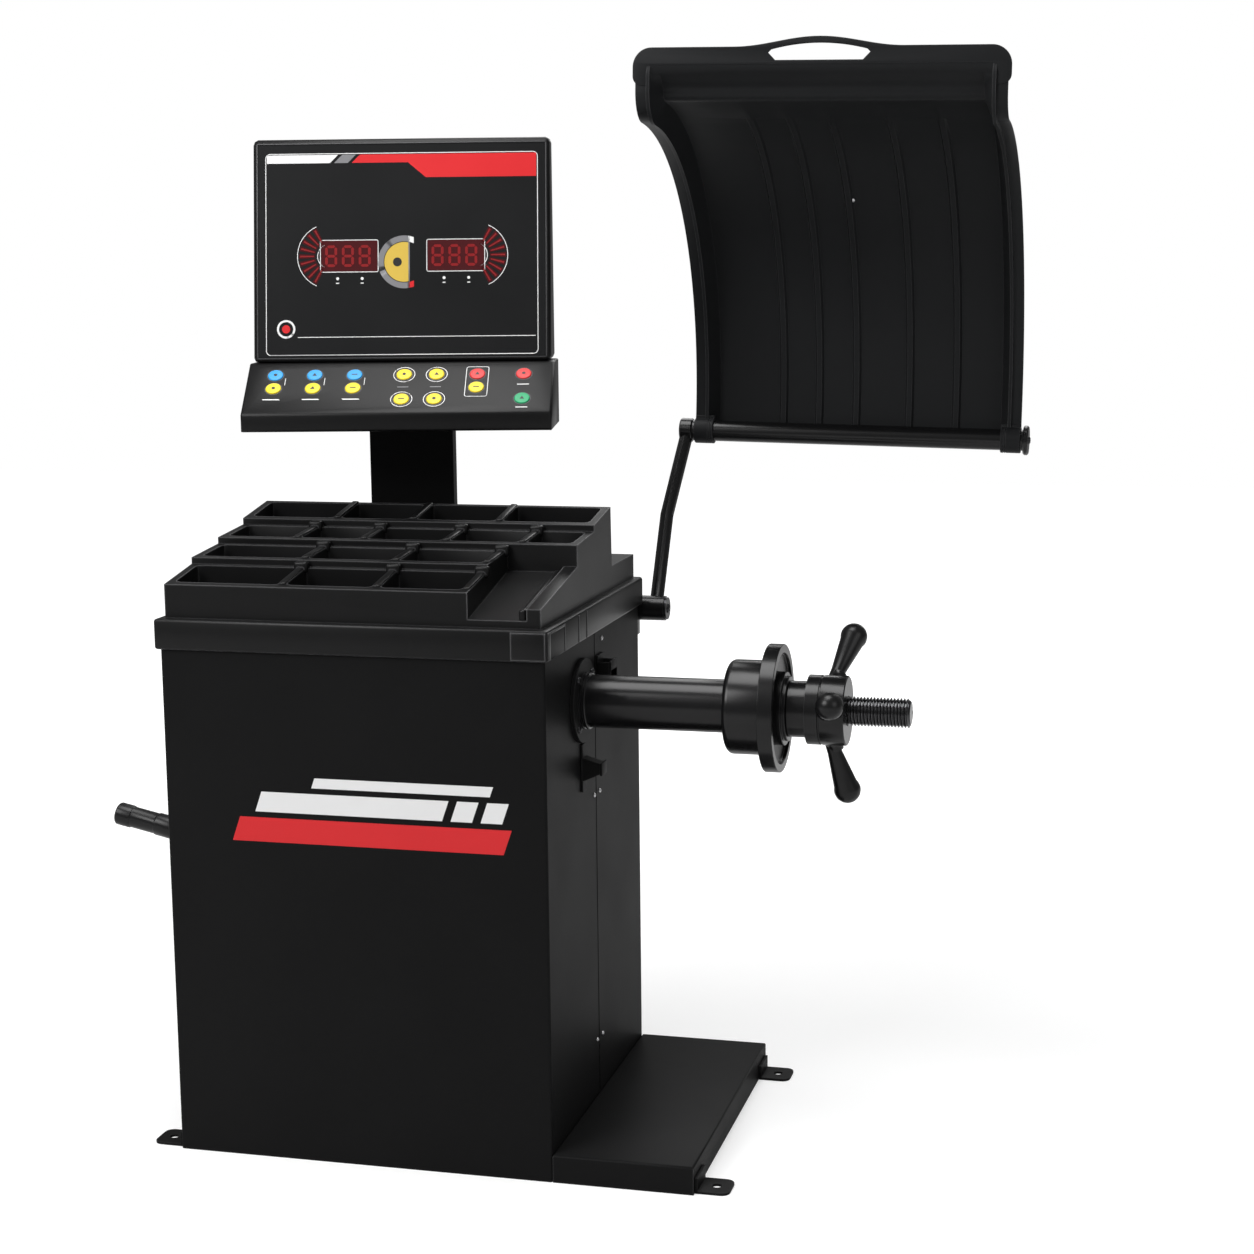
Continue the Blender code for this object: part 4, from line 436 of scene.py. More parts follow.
header = {"height": 0.051, "lap": 0.006, "ears": 0.004, "earWidth": 0.0215, "hollowTop": 0.0275,
          "corner": 0.026, "bulge": 0.013, "bulgeHalf": 0.115, "bulgeSteps": 16, "thickness": 0.0048,
          "edge": 0.0012, "slotHalf": 0.069, "slotHeight": 0.022, "slotBelowTop": 0.009, "slotFoot": 0.86,
          "slotShoulder": 0.45, "slotSide": 0.94, "slotSag": 0.42, "slotSteps": 10}
clamp = {"wall": 0.0035, "width": 0.030, "bore": 0.0163, "radius": 0.0198, "edge": 0.0008,
         "rings": (0.0040, 0.0068), "groove": ((0.0, 0.0), (0.0004, 0.0008), (0.0010, 0.0008), (0.0014, 0.0)),
         "lugDepth": 0.0075, "lugSunk": 0.010, "lugLift": 0.001, "lugBack": 0.00075, "lugRound": 0.0012}
hoodPlace = Matrix.Translation(hood["place"]) @ Matrix.Rotation(math.radians(hood["droop"]), 4, "Y")
hoodMiddle = hood["width"] / 2 + clamp["wall"]


# One at the start, falling smoothly to nothing at the end
def fade(value, start, end):
    share = min(1.0, max(0.0, (value - start) / (end - start)))
    return 1.0 - share * share * (3.0 - 2.0 * share)


# Across the hood: lip, bead, wall and ribbed panel, as (across, depth behind the lip)
def hoodSection(share, rib, bead):
    lip = hood["width"] / 2 - hood["lip"]
    wall = lip - hood["wallRun"]
    deep, proud, thick = hood["depth"] * share, hood["beadHeight"] * bead, hood["bead"]
    bead = [(lip + across * thick, -proud * rise) for across, rise in hood["beadProfile"]]
    side = [(hood["width"] / 2, 0.0)] + bead + [(wall, deep)]
    foot, top, crest = hood["ribWidth"] / 2, hood["ribTop"] / 2, deep - hood["ribHeight"] * rib
    panel = []
    for middle in hood["ribs"]:
        panel += [(middle - foot, deep), (middle - top, crest), (middle + top, crest), (middle + foot, deep)]
    return [(-across, depth) for across, depth in side] + panel + side[::-1]


# Up the hood in its side view: the lip's place, the way out, and the shares of depth, ribs and bead
def hoodStations():
    radius, bend, lean = hood["radius"], hood["bend"], math.radians(hood["lean"])
    centre = Vector((-radius * math.cos(lean), radius * math.sin(lean) + hood["footRise"]))
    end = math.acos(bend / (radius + bend))
    foot = Vector((math.cos(lean), -math.sin(lean)))
    stations = [(centre + foot * radius + Vector((foot.y, -foot.x)) * hood["skirt"], foot, 1.0, 1.0, 1.0)]
    for i in range(hood["arcSteps"] + 1):
        share = i / hood["arcSteps"]
        angle = -lean + (end + lean) * share
        outward = Vector((math.cos(angle), math.sin(angle)))
        stations.append((centre + outward * radius, outward, 1.0, fade(share, *hood["ribFade"]), 1.0))
    turnCentre = centre + Vector((math.cos(end), math.sin(end))) * (radius + bend)
    for i in range(1, hood["bendSteps"] + 1):
        angle = end * (1.0 - i / hood["bendSteps"])
        outward = Vector((math.cos(angle), math.sin(angle)))
        stations.append((turnCentre - outward * bend, outward, 1.0, 0.0, 1.0))
    headerFoot = stations[-1][0]
    for i in range(1, hood["riseSteps"] + 1):
        share = i / hood["riseSteps"]
        place = headerFoot + Vector((0.0, hood["rise"] * share))
        hollow, bead = fade(share, *hood["hollowFade"]), fade(share, *hood["beadFade"])
        stations.append((place, Vector((1.0, 0.0)), hollow, 0.0, bead))
    return stations, headerFoot


def buildHoodPanel(stations):
    rings = []
    for lip, outward, share, rib, bead in stations:
        points = [(across, lip + outward * depth) for across, depth in hoodSection(share, rib, bead)]
        rings.append([(hoodMiddle + across, place.x, place.y) for across, place in points])
    mesh = meshFrom(loft(rings), "hoodPanel", hoodPlace)
    panel = addPiece("hoodPanel", mesh, "hood", "hood_plastic", smooth=hood["smooth"])
    wall = panel.modifiers.new("wall", "SOLIDIFY")
    wall.thickness = hood["sheet"]
    wall.offset = 0.0
    wall.use_even_offset = True
    softenEdges(panel, hood["edge"], hood["edgeSteps"])
    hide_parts("hood_shell")


# Upright plate with rounded ears, an arched top and a hand slot below the arch
def buildHoodHeader(base):
    half, top, corner = hood["width"] / 2 + header["ears"], header["height"], header["corner"]
    reach, bulge = header["bulgeHalf"], header["bulge"]
    outline = arc((-half + corner / 2, corner / 2), corner / 2, 270, 180, 8)
    outline += arc((-half + corner, top - corner), corner, 180, 90, 14)
    steps = header["bulgeSteps"]
    for i in range(2 * steps + 1):
        across = reach * (i / steps - 1)
        outline.append((across, top + bulge * 0.5 * (1 + math.cos(math.pi * across / reach))))
    outline += arc((half - corner, top - corner), corner, 90, 0, 14)
    outline += arc((half - corner / 2, corner / 2), corner / 2, 0, -90, 8)
    inner, under = half - header["earWidth"], header["hollowTop"]
    outline += [(inner, 0.0), (inner, under), (-inner, under), (-inner, 0.0)]
    wide, tall = header["slotHalf"], header["slotHeight"]
    high = top + bulge - header["slotBelowTop"]
    low = high - tall
    foot, shoulder = header["slotFoot"] * wide, low + header["slotShoulder"] * tall
    slot = [(-foot, low), (foot, low), (wide, shoulder)]
    steps = header["slotSteps"]
    for i in range(2 * steps + 1):
        share = header["slotSide"] * (1 - i / steps)
        slot.append((wide * share, high - header["slotSag"] * tall * share ** 2))
    slot.append((-wide, shoulder))
    place = hoodPlace @ Matrix.Translation((hoodMiddle, base.x, base.y + header["lap"])) @ upright
    bm = plateMesh([outline, slot], header["thickness"], header["edge"])
    addShape("hoodHeader", bm, "hood_plastic", place=place, body="hood")


# Grooved clamp rings round the cross tube, each with a lug up to the lip
def buildHoodClamps():
    width, radius, bore, edge = clamp["width"], clamp["radius"], clamp["bore"], clamp["edge"]
    outline = [(bore, width), (radius - edge, width), (radius, width - edge)]
    for ring in clamp["rings"]:
        for rise, dip in clamp["groove"]:
            outline.append((radius - dip, width - ring - rise))
    outline += [(radius, edge), (radius - edge, 0.0), (bore, 0.0), (bore, width)]
    starts = {"hoodClampLeft": clamp["wall"], "hoodClampRight": hood["width"] + clamp["wall"] - width}
    for name, start in starts.items():
        flip = Matrix.Identity(4)
        if name.endswith("Right"):
            flip = Matrix.Translation((0, 0, width)) @ Matrix.Rotation(math.pi, 4, "X")
        bm = turn(outline, 64)
        bmesh.ops.transform(bm, matrix=Matrix.Translation((start, 0, 0)) @ toX @ flip, verts=bm.verts)
        lug = (width, clamp["lugDepth"], hood["footRise"] - clamp["lugSunk"])
        centre = (start + width / 2, clamp["lugBack"], hood["footRise"] + clamp["lugLift"])
        roundedBlock(bm, lug, centre, clamp["lugRound"])
        addShape(name, bm, "hood_plastic", place=hoodPlace, body="hood")


hoodRings, headerFoot = hoodStations()
buildHoodPanel(hoodRings)
buildHoodHeader(headerFoot)
buildHoodClamps()
print("hood shaped")


# Flared bosses where the nut's handles are screwed in, along each handle's own axis
boss = {"rise": 0.0155, "root": 0.0165, "tip": 0.0105, "sunk": 0.004, "below": 0.003, "curve": 2.2,
        "steps": 8, "nearBand": 0.004, "farBand": 0.030}


def bossOutline():
    root, tip, steps, below = boss["root"], boss["tip"], boss["steps"], boss["below"]
    flare = [(tip + (root - tip) * (1 - i / steps) ** boss["curve"], boss["rise"] * i / steps)
             for i in range(steps, -1, -1)]
    return [(0.0, boss["rise"])] + flare + [(root, -below), (0.0, -below)]


def buildNutBosses():
    centre = axisOf("quick_nut").translation
    nutRadius = radiusOf("quick_nut")
    bm = bmesh.new()
    for number in (1, 2, 3):
        points = [vert.co for vert in nodes[f"nut_handle_{number}"].data.vertices]
        reach = [math.hypot(point.y - centre.y, point.z - centre.z) for point in points]
        near = [point for point, far in zip(points, reach) if far < min(reach) + boss["nearBand"]]
        away = [point for point, far in zip(points, reach) if far > max(reach) - boss["farBand"]]
        root = sum(near, Vector()) / len(near)
        way = (sum(away, Vector()) / len(away) - root).normalized()
        rootReach = math.hypot(root.y - centre.y, root.z - centre.z)
        foot = root + way * ((nutRadius - boss["sunk"] - rootReach) / math.hypot(way.y, way.z))
        place = Matrix.Translation(foot) @ way.to_track_quat("Z", "Y").to_matrix().to_4x4()
        shape = turn(bossOutline(), 40)
        bmesh.ops.transform(shape, matrix=place, verts=shape.verts)
        part = meshFrom(shape, "boss")
        bm.from_mesh(part)
        bpy.data.meshes.remove(part)
    addShape("nutBosses", bm, "spindle_steel", body="nut")


# Stepped ring where the spindle housing leaves the side plate; its profile is dips behind the outer end
collar = {"radius": 0.0392, "length": 0.0090, "seat": 0.0005,
          "profile": ((0.0010, 0.0), (0.0, 0.0010), (0.0, 0.0040), (0.0012, 0.0046), (0.0012, 0.0058),
                      (0.0, 0.0064))}


def buildHousingCollar():
    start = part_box("housing_side_plate")[1][0]
    inner, radius = radiusOf("spindle_housing") - collar["seat"], collar["radius"]
    end = start + collar["length"]
    outline = [(inner, end)] + [(radius - dip, end - behind) for dip, behind in collar["profile"]]
    outline += [(radius, start), (inner, start), (inner, end)]
    addShape("housingCollar", turn(outline), "spindle_steel", place=axisOf("spindle_housing"))


# Walls that make the upper hook an open holder
holder = {"wall": 0.0032, "height": 0.0250, "corner": 0.0012}


def buildHookHolder():
    low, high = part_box("tool_hook_upper")
    wall, tall = holder["wall"], holder["height"]
    reach, wide = high[0] - low[0], high[1] - low[1]
    middle = low[2] + tall / 2
    blocks = [((reach, wall, tall), (low[0] + reach / 2, y, middle), holder["corner"])
              for y in (low[1] + wall / 2, high[1] - wall / 2)]
    end = (high[0] - wall / 2, (low[1] + high[1]) / 2, middle)
    blocks.append(((wall, wide, tall + wall), end, holder["corner"]))
    addBlocks("upperHookHolder", blocks, "cabinet_paint")


# Tapered horn over the lower hook, closed by a small end plate
horn = {"stations": ((0.0015, 0.0125, 0.0170, -0.002), (0.0275, 0.0116, 0.0075, 0.000)), "corner": 0.003,
        "endPlate": (0.0036, 0.0255, 0.0180), "endRound": 0.0012}


def buildHookHorn():
    low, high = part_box("tool_hook_lower")
    middle = (low[1] + high[1]) / 2
    height = (low[2] + high[2]) / 2
    rings = []
    for out, wide, tall, lift in horn["stations"]:
        level = height + lift
        ring = roundBox(middle - wide, level - tall, middle + wide, level + tall, horn["corner"])
        rings.append([(low[0] + out, y, z) for y, z in ring])
    bm = loft(rings, closed=True)
    bmesh.ops.holes_fill(bm, edges=bm.edges, sides=0)
    out = horn["stations"][-1][0] + horn["endPlate"][0] / 2
    roundedBlock(bm, horn["endPlate"], (low[0] + out, middle, height), horn["endRound"])
    addShape("lowerHookHorn", bm, "cabinet_paint")


# Dark joint between the front shell and the rear cover, down both sides
seam = {"width": 0.0022, "proud": 0.0003, "foot": 0.0420, "head": 0.7140, "edge": 0.8}


def buildSeams():
    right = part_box("cabinet_front_shell")[1][0]
    y = (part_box("cabinet_front_shell")[1][1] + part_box("cabinet_rear_cover")[0][1]) / 2
    size = (2 * seam["proud"], seam["width"], seam["head"] - seam["foot"])
    middle, edge = (seam["head"] + seam["foot"]) / 2, seam["proud"] * seam["edge"]
    for name, x in (("seamRight", right), ("seamLeft", -right)):
        addBlocks(name, [(size, (x, y, middle), edge)], "cabinet_paint", seamBlack, steps=1)


buildNutBosses()
buildHousingCollar()
buildHookHolder()
buildHookHorn()
buildSeams()
print("spindle trimmed")


# Threaded end of the shaft
thread = {"pitch": 0.0045, "core": 0.0174, "crest": 0.0200, "start": 0.4822, "lead": 0.004, "runIn": 0.001,
          "chamfer": 0.0022, "sunk": 0.0006, "flank": 0.42, "flat": (0.84, 1.16), "steps": 40}


def buildThread():
    low, high = (corner[0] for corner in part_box("main_shaft"))
    core, crest, pitch, steps = thread["core"], thread["crest"], thread["pitch"], thread["steps"]
    chamfer, foot = thread["chamfer"], core - thread["sunk"]
    bm = turn([(0.0, high), (core - chamfer, high), (core, high - chamfer), (core, low), (0.0, low)], 64)
    addShape("shaftCore", bm, "thread_steel", place=axisOf("main_shaft"), body="spindle")
    bm = bmesh.new()
    turns = int((high - thread["start"] - thread["lead"]) / pitch)
    half = pitch * thread["flank"]
    start = thread["start"] + thread["runIn"]
    up, down = thread["flat"]
    profile = [(foot, start), (crest, start + half * up), (crest, start + half * down),
               (foot, start + 2 * half)]
    ring = [bm.verts.new((r, 0.0, z)) for r, z in profile]
    edges = [bm.edges.new(pair) for pair in zip(ring, ring[1:])]
    bmesh.ops.spin(bm, geom=ring + edges, cent=(0, 0, 0), axis=(0, 0, 1), dvec=(0, 0, pitch / steps),
                   angle=math.tau * turns, steps=steps * turns, use_merge=False)
    ridge = addShape("shaftThread", bm, "thread_steel", place=axisOf("main_shaft"), body="spindle")
    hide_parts("main_shaft")


buildThread()
print("thread cut")

# Places of the printed faces: x across, y up the face, z out of it
screen = {"foot": (-0.0383, 0.0938, 1.087), "turn": 12.3, "tilt": 9.5, "face": 0.0008, "ink": 0.00012}
keypad = {"slope": 39.0, "sunk": 0.0003, "ink": 0.00012}
headPlace = Matrix.Translation(screen["foot"]) @ Matrix.Rotation(math.radians(screen["turn"]), 4, "Z")
screenPlace = (headPlace @ Matrix.Rotation(-math.radians(screen["tilt"]), 4, "X")
               @ Matrix.Translation((0, screen["face"], 0)) @ upright)
keypadPlace = (headPlace @ Matrix.Translation((0, 0, -keypad["sunk"]))
               @ Matrix.Rotation(math.radians(keypad["slope"]), 4, "X"))


# Printed shapes lie in the XY plane of their place and stand proud by the ink's thickness
class Print:
    def __init__(self, ink):
        self.bm = bmesh.new()
        self.ink = ink

    def shape(self, points, lift=0.0):
        corners = [self.bm.verts.new((x, y, lift)) for x, y in points]
        face = self.bm.faces.new(corners)
        face.normal_update()
        raised = bmesh.ops.extrude_face_region(self.bm, geom=[face])["geom"]
        top = [v for v in raised if isinstance(v, bmesh.types.BMVert)]
        bmesh.ops.translate(self.bm, vec=(0, 0, self.ink), verts=top)

    def band(self, outer, inner):
        for i in range(len(outer)):
            j = (i + 1) % len(outer)
            self.shape([outer[i], outer[j], inner[j], inner[i]])

    def place(self, name, matrix, slot, material, body="machine"):
        addShape(name, self.bm, slot, material, matrix, body)


def outlineBox(sheet, left, low, right, high, radius, line):
    inside = (left + line, low + line, right - line, high - line)
    sheet.band(roundBox(left, low, right, high, radius), roundBox(*inside, max(radius - line, line / 2)))


def oblong(left, low, right, high):
    return [(left, low), (right, low), (right, high), (left, high)]


def disc(centre, radius, count=28):
    return arc(centre, radius, 0, 360 - 360 / count, count - 1)


# A bar that points away from a hub
def spoke(hub, angle, inner, outer, innerHalf, outerHalf):
    along, across = Vector((math.cos(angle), math.sin(angle))), Vector((-math.sin(angle), math.cos(angle)))
    near, far = Vector(hub) + along * inner, Vector(hub) + along * outer
    return [near - across * innerHalf, far - across * outerHalf,
            far + across * outerHalf, near + across * innerHalf]


digit = {"count": 3, "spare": 0.012, "edge": 0.0075, "rise": 0.008, "width": 0.72, "bar": 0.0040, "gap": 0.18}


# The seven bars of one digit
def segmentShapes(left, low, width, height):
    thick = digit["bar"]
    half, gap = thick / 2, thick * digit["gap"]
    mid, right, top = low + height / 2, left + width, low + height
    near, far = left + thick + gap, right - thick - gap
    shapes = []
    for y in (low + half, mid, top - half):
        shapes.append([(left + half + gap, y), (near, y - half), (far, y - half),
                       (right - half - gap, y), (far, y + half), (near, y + half)])
    for x in (left + half, right - half):
        for foot, head in ((low + half, mid), (mid, top - half)):
            under, over = foot + half + gap, head - half - gap
            shapes.append([(x, foot + gap), (x + half, under), (x + half, over),
                           (x, head - gap), (x - half, over), (x - half, under)])
    return shapes


display = {"border": (-0.1985, 0.0105, 0.1990, 0.3045), "corner": 0.007, "line": 0.0011,
           "windows": ((-0.1190, -0.0335), (0.0364, 0.1219)), "windowLow": 0.131, "windowHigh": 0.1785,
           "windowCorner": 0.003, "glassInset": 0.0014, "glassCorner": 0.002}
banner = {"inset": 0.0022, "shallow": 0.012, "deep": 0.034, "lean": 0.012, "red": -0.060,
          "step": (0.010, 0.036), "grey": (-0.086, -0.066), "white": -0.092}
fan = {"hub": 0.014, "start": 22, "sweep": 136, "trim": 2, "rims": (0.018, 0.0475), "line": 0.0010,
       "steps": 20, "bars": 9, "glass": (0.021, 0.045, 0.0022, 0.0036), "bar": (0.023, 0.043, 0.0008, 0.0012)}
tick = {"places": (0.3, 0.72), "half": 0.0022, "drop": 0.009, "foot": 0.0165, "head": 0.0150}
wheel = {"hub": (0.004, 0.1455), "sweep": (78, 282, 24), "tyre": ((0.0385, 0.008), (0.0300, 0.006)),
         "face": 0.0290, "bore": (-0.010, 0.0065),
         "weight": ((0.006, 0.030), (0.014, 0.027), (0.014, 0.036), (0.006, 0.038))}
footLine = {"ring": (-0.169, 0.049), "radii": (0.0135, 0.0105, 0.0060), "start": -0.152, "stop": 0.004,
            "low": 0.0365, "high": 0.0375}


def buildScreenPrint():
    ink = screen["ink"]
    white, red, grey, gold, dark, glow, bars = (Print(ink) for _ in range(7))
    left, low, right, high = display["border"]
    outlineBox(white, left, low, right, high, display["corner"], display["line"])
    # Header: a red band that steps down to the right, a white and a grey slash at its left
    lean, first, last = banner["lean"], left + banner["inset"], right - banner["inset"]
    top = high - banner["inset"]
    shallow, deep = top - banner["shallow"], top - banner["deep"]
    start, (stepHigh, stepLow) = banner["red"], banner["step"]
    red.shape([(start, top), (last, top), (last, deep), (stepLow, deep), (stepHigh, shallow),
               (start - lean, shallow)])
    start, end = banner["grey"]
    grey.shape([(start, top), (end, top), (end - lean, shallow), (start - lean, shallow)])
    end = banner["white"]
    white.shape([(first, top), (end, top), (end - lean, shallow), (first, shallow)])
    # Digit windows with unlit digits, a fan of bars outside each
    wLow, wHigh, inset = display["windowLow"], display["windowHigh"], display["glassInset"]
    for side, (wLeft, wRight) in zip((-1, 1), display["windows"]):
        outlineBox(white, wLeft, wLow, wRight, wHigh, display["windowCorner"], display["line"])
        glass = (wLeft + inset, wLow + inset, wRight - inset, wHigh - inset)
        glow.shape(roundBox(*glass, display["glassCorner"]))
        step = (wRight - wLeft - digit["spare"]) / digit["count"]
        tall = wHigh - wLow - 2 * digit["rise"]
        for number in range(digit["count"]):
            start = wLeft + digit["edge"] + number * step
            for shape in segmentShapes(start, wLow + digit["rise"], step * digit["width"], tall):
                bars.shape(shape, ink)
        hub = (wLeft + fan["hub"] if side < 0 else wRight - fan["hub"], (wLow + wHigh) / 2)
        start, sweep, steps = 90 - side * fan["start"], -side * fan["sweep"], fan["steps"]
        ends = (start - side * fan["trim"], start + sweep + side * fan["trim"])
        for radius in fan["rims"]:
            outside, inside = (arc(hub, reach, *ends, steps) for reach in (radius, radius - fan["line"]))
            for i in range(steps):
                white.shape([outside[i], outside[i + 1], inside[i + 1], inside[i]])
        for i in range(fan["bars"]):
            angle = math.radians(start + sweep * (i + 0.5) / fan["bars"])
            glow.shape(spoke(hub, angle, *fan["glass"]))
            bars.shape(spoke(hub, angle, *fan["bar"]), ink)
        half = tick["half"]
        for share in tick["places"]:
            x = wLeft + (wRight - wLeft) * share
            white.shape(disc((x, wLow - tick["drop"]), half, 16))
            white.shape(oblong(x - half, wLow - tick["foot"], x + half, wLow - tick["head"]))
    # Sketch of a wheel in section between the windows
    x, y = wheel["hub"]
    tyre = [arc((x, y), radius, *wheel["sweep"]) + [(x + mouth, y)] for radius, mouth in wheel["tyre"]]
    grey.band(*tyre)
    gold.shape(arc((x, y), wheel["face"], *wheel["sweep"]))
    across, bore = wheel["bore"]
    dark.shape(disc((x + across, y), bore), ink)
    white.shape([(x + across, y + up) for across, up in wheel["weight"]])
    red.shape([(x + across, y - up) for across, up in reversed(wheel["weight"])])
    # Foot line with a plain ring at its left
    outer, inner, core = (disc(footLine["ring"], radius) for radius in footLine["radii"])
    white.band(outer, inner)
    red.shape(core)
    white.shape(oblong(footLine["start"], footLine["low"], right - footLine["stop"], footLine["high"]))
    sheets = (("screenLines", white, printWhite), ("screenRed", red, printRed),
              ("screenGrey", grey, printGrey), ("screenGold", gold, printGold),
              ("screenDark", dark, printDark), ("screenWindows", glow, windowRed),
              ("screenSegments", bars, segmentRed))
    for name, sheet, material in sheets:
        sheet.place(name, screenPlace, "panel_film", material)


buildScreenPrint()
print("screen printed")

# Keys, each with a dot, a wedge or a bar on its cap, and the lines round them
keys = {"columns": (-0.181, -0.124, -0.066, 0.006, 0.053, 0.112, 0.179), "rows": (0.027, 0.055, 0.079),
        "radius": 0.0112, "proud": 0.0016, "bottom": -0.0040, "crown": 0.0016, "markInk": 0.0001}
keyPlaces = {"key_blue_left": (0, 0), "key_blue_middle": (1, 0), "key_blue_right": (2, 0),
             "key_yellow_left": (0, 1), "key_yellow_middle": (1, 1), "key_yellow_right": (2, 1),
             "key_ring_upper_left": (3, 0), "key_ring_upper_right": (4, 0), "key_ring_lower_left": (3, 2),
             "key_ring_lower_right": (4, 2), "key_mode_red": (5, 0), "key_mode_yellow": (5, 1),
             "key_stop_red": (6, 0), "key_start_green": (6, 2)}
keyMarks = (disc((0.0, 0.0), 0.0026, 18), [(-0.0034, -0.0026), (0.0034, -0.0026), (0.0, 0.0034)],
            oblong(-0.0042, -0.0010, 0.0042, 0.0010))
keyLines = {"ring": (0.0158, 0.0148), "frame": (0.0165, -0.0745, -0.011), "corner": 0.004, "line": 0.0009,
            "divider": (0.0150, -0.0480, 0.0158, -0.0330), "stop": (0.0085, 0.0016),
            "stops": (-0.0500, -0.0980),
            "slash": ((-0.0120, -0.0790), (0.0120, -0.0790), (0.0100, -0.0770), (-0.0140, -0.0770)),
            "tick": (0.0080, -0.0540, -0.0525)}


def keySpot(node):
    column, row = keyPlaces[node]
    return keys["columns"][column], -keys["rows"][row]


def buildKeys():
    radius, proud, rim, bottom = (keys[key] for key in ("radius", "proud", "crown", "bottom"))
    outline = [(0.0, proud), (radius - rim, proud)] + arc((radius - rim, proud - rim), rim, 80, 0, 6)
    outline += [(radius, bottom), (0.0, bottom)]
    for number, node in enumerate(keyPlaces):
        place = keypadPlace @ Matrix.Translation((*keySpot(node), 0.0))
        cap = addShape(node + "Cap", turn(outline, 48), slotOfNode[node], place=place, body=node)
        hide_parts(node)
        mark = Print(keys["markInk"])
        mark.shape(keyMarks[number % len(keyMarks)], proud)
        mark.place(node + "Mark", place, slotOfNode[node], printDark, node)


def buildKeypadPrint():
    white, grey = Print(keypad["ink"]), Print(keypad["ink"])
    columns = keys["columns"]
    for node in keyPlaces:
        if node.startswith("key_ring"):
            white.band(*(disc(keySpot(node), radius, 40) for radius in keyLines["ring"]))
    x, (half, low, high) = columns[5], keyLines["frame"]
    outlineBox(white, x - half, low, x + half, high, keyLines["corner"], keyLines["line"])
    left, low, right, high = keyLines["divider"]
    for x in columns[:3]:
        white.shape(oblong(x + left, low, x + right, high))
        white.shape([(x + across, y) for across, y in keyLines["slash"]])
    x, (half, tall) = columns[6], keyLines["stop"]
    for y in keyLines["stops"]:
        white.shape(oblong(x - half, y, x + half, y + tall))
    half, low, high = keyLines["tick"]
    for x in columns[3:5]:
        grey.shape(oblong(x - half, low, x + half, high))
    white.place("keypadLines", keypadPlace, "panel_film", printWhite)
    grey.place("keypadTicks", keypadPlace, "panel_film", printGrey)


buildKeys()
buildKeypadPrint()
print("keys set")

# Plain slanted stripes on the cabinet's front: left, right, low and high of each
stripe = {"base": 0.453, "slant": 0.35, "ink": 0.0002, "red": ((-0.176, 0.212, 0.453, 0.487),),
          "white": ((-0.156, 0.112, 0.495, 0.523), (0.124, 0.154, 0.495, 0.523), (0.166, 0.196, 0.495, 0.523),
                    (-0.086, 0.167, 0.531, 0.545))}


def buildStripes():
    place = Matrix.Translation((0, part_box("cabinet_front_shell")[0][1], 0)) @ upright
    sheets = (("frontStripesWhite", "white", printWhite), ("frontStripeRed", "red", printRed))
    for name, colour, material in sheets:
        sheet = Print(stripe["ink"])
        for left, right, low, high in stripe[colour]:
            foot, head = ((level - stripe["base"]) * stripe["slant"] for level in (low, high))
            sheet.shape([(left + foot, low), (right + foot, low), (right + head, high), (left + head, high)])
        sheet.place(name, place, "cabinet_paint", material)


buildStripes()

# Screws: pan heads marked with a cross, standing on the face they hold
screw = {"radius": 0.0042, "height": 0.0022, "dome": (25, 45, 62, 76), "round": 0.7,
         "cross": (1.1, 0.22, 0.2), "crossLift": 0.93}
spots = {"sides": ((0.036, 0.700), (-0.013, 0.482), (0.016, 0.482), (0.016, 0.120), (-0.013, 0.120)),
              "sideRadius": 0.0034, "rearAcross": 0.245, "rearFoot": 0.06, "rearStep": 0.195,
              "plateCircle": 0.0485, "plate": (0.0052, 0.0036), "capSunk": 0.0008, "capLean": -0.021,
              "cap": (0.0065, 0.0030), "hood": (0.5799, 0.34485, 1.31295), "hoodFacing": (0.0, -0.71, -0.704),
              "hoodRadius": 0.0046, "pivot": (0.0075, 0.0030)}


def addScrew(name, place, facing, material=screwSteel, radius=screw["radius"], height=screw["height"],
             body="machine", slot="cabinet_paint"):
    angles = [math.radians(angle) for angle in screw["dome"]]
    dome = [(radius * math.sin(angle), height * math.cos(angle) ** screw["round"]) for angle in angles]
    bm = turn([(0.0, height)] + dome + [(radius, 0.0), (0.0, 0.0)], 24)
    length, width, thick = screw["cross"]
    for angle in (0.0, math.pi / 2):
        bar = bmesh.ops.create_cube(bm, size=1.0)["verts"]
        bmesh.ops.scale(bm, vec=(radius * length, radius * width, height * thick), verts=bar)
        bmesh.ops.rotate(bm, verts=bar, cent=(0, 0, 0), matrix=Matrix.Rotation(angle, 3, "Z"))
        bmesh.ops.translate(bm, vec=(0, 0, height * screw["crossLift"]), verts=bar)
    turned = Vector(facing).to_track_quat("Z", "Y").to_matrix().to_4x4()
    addShape(name, bm, slot, material, Matrix.Translation(place) @ turned, body)


def rightEnd(node, sunk=0.0):
    low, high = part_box(node)
    return high[0] - sunk, (low[1] + high[1]) / 2, (low[2] + high[2]) / 2


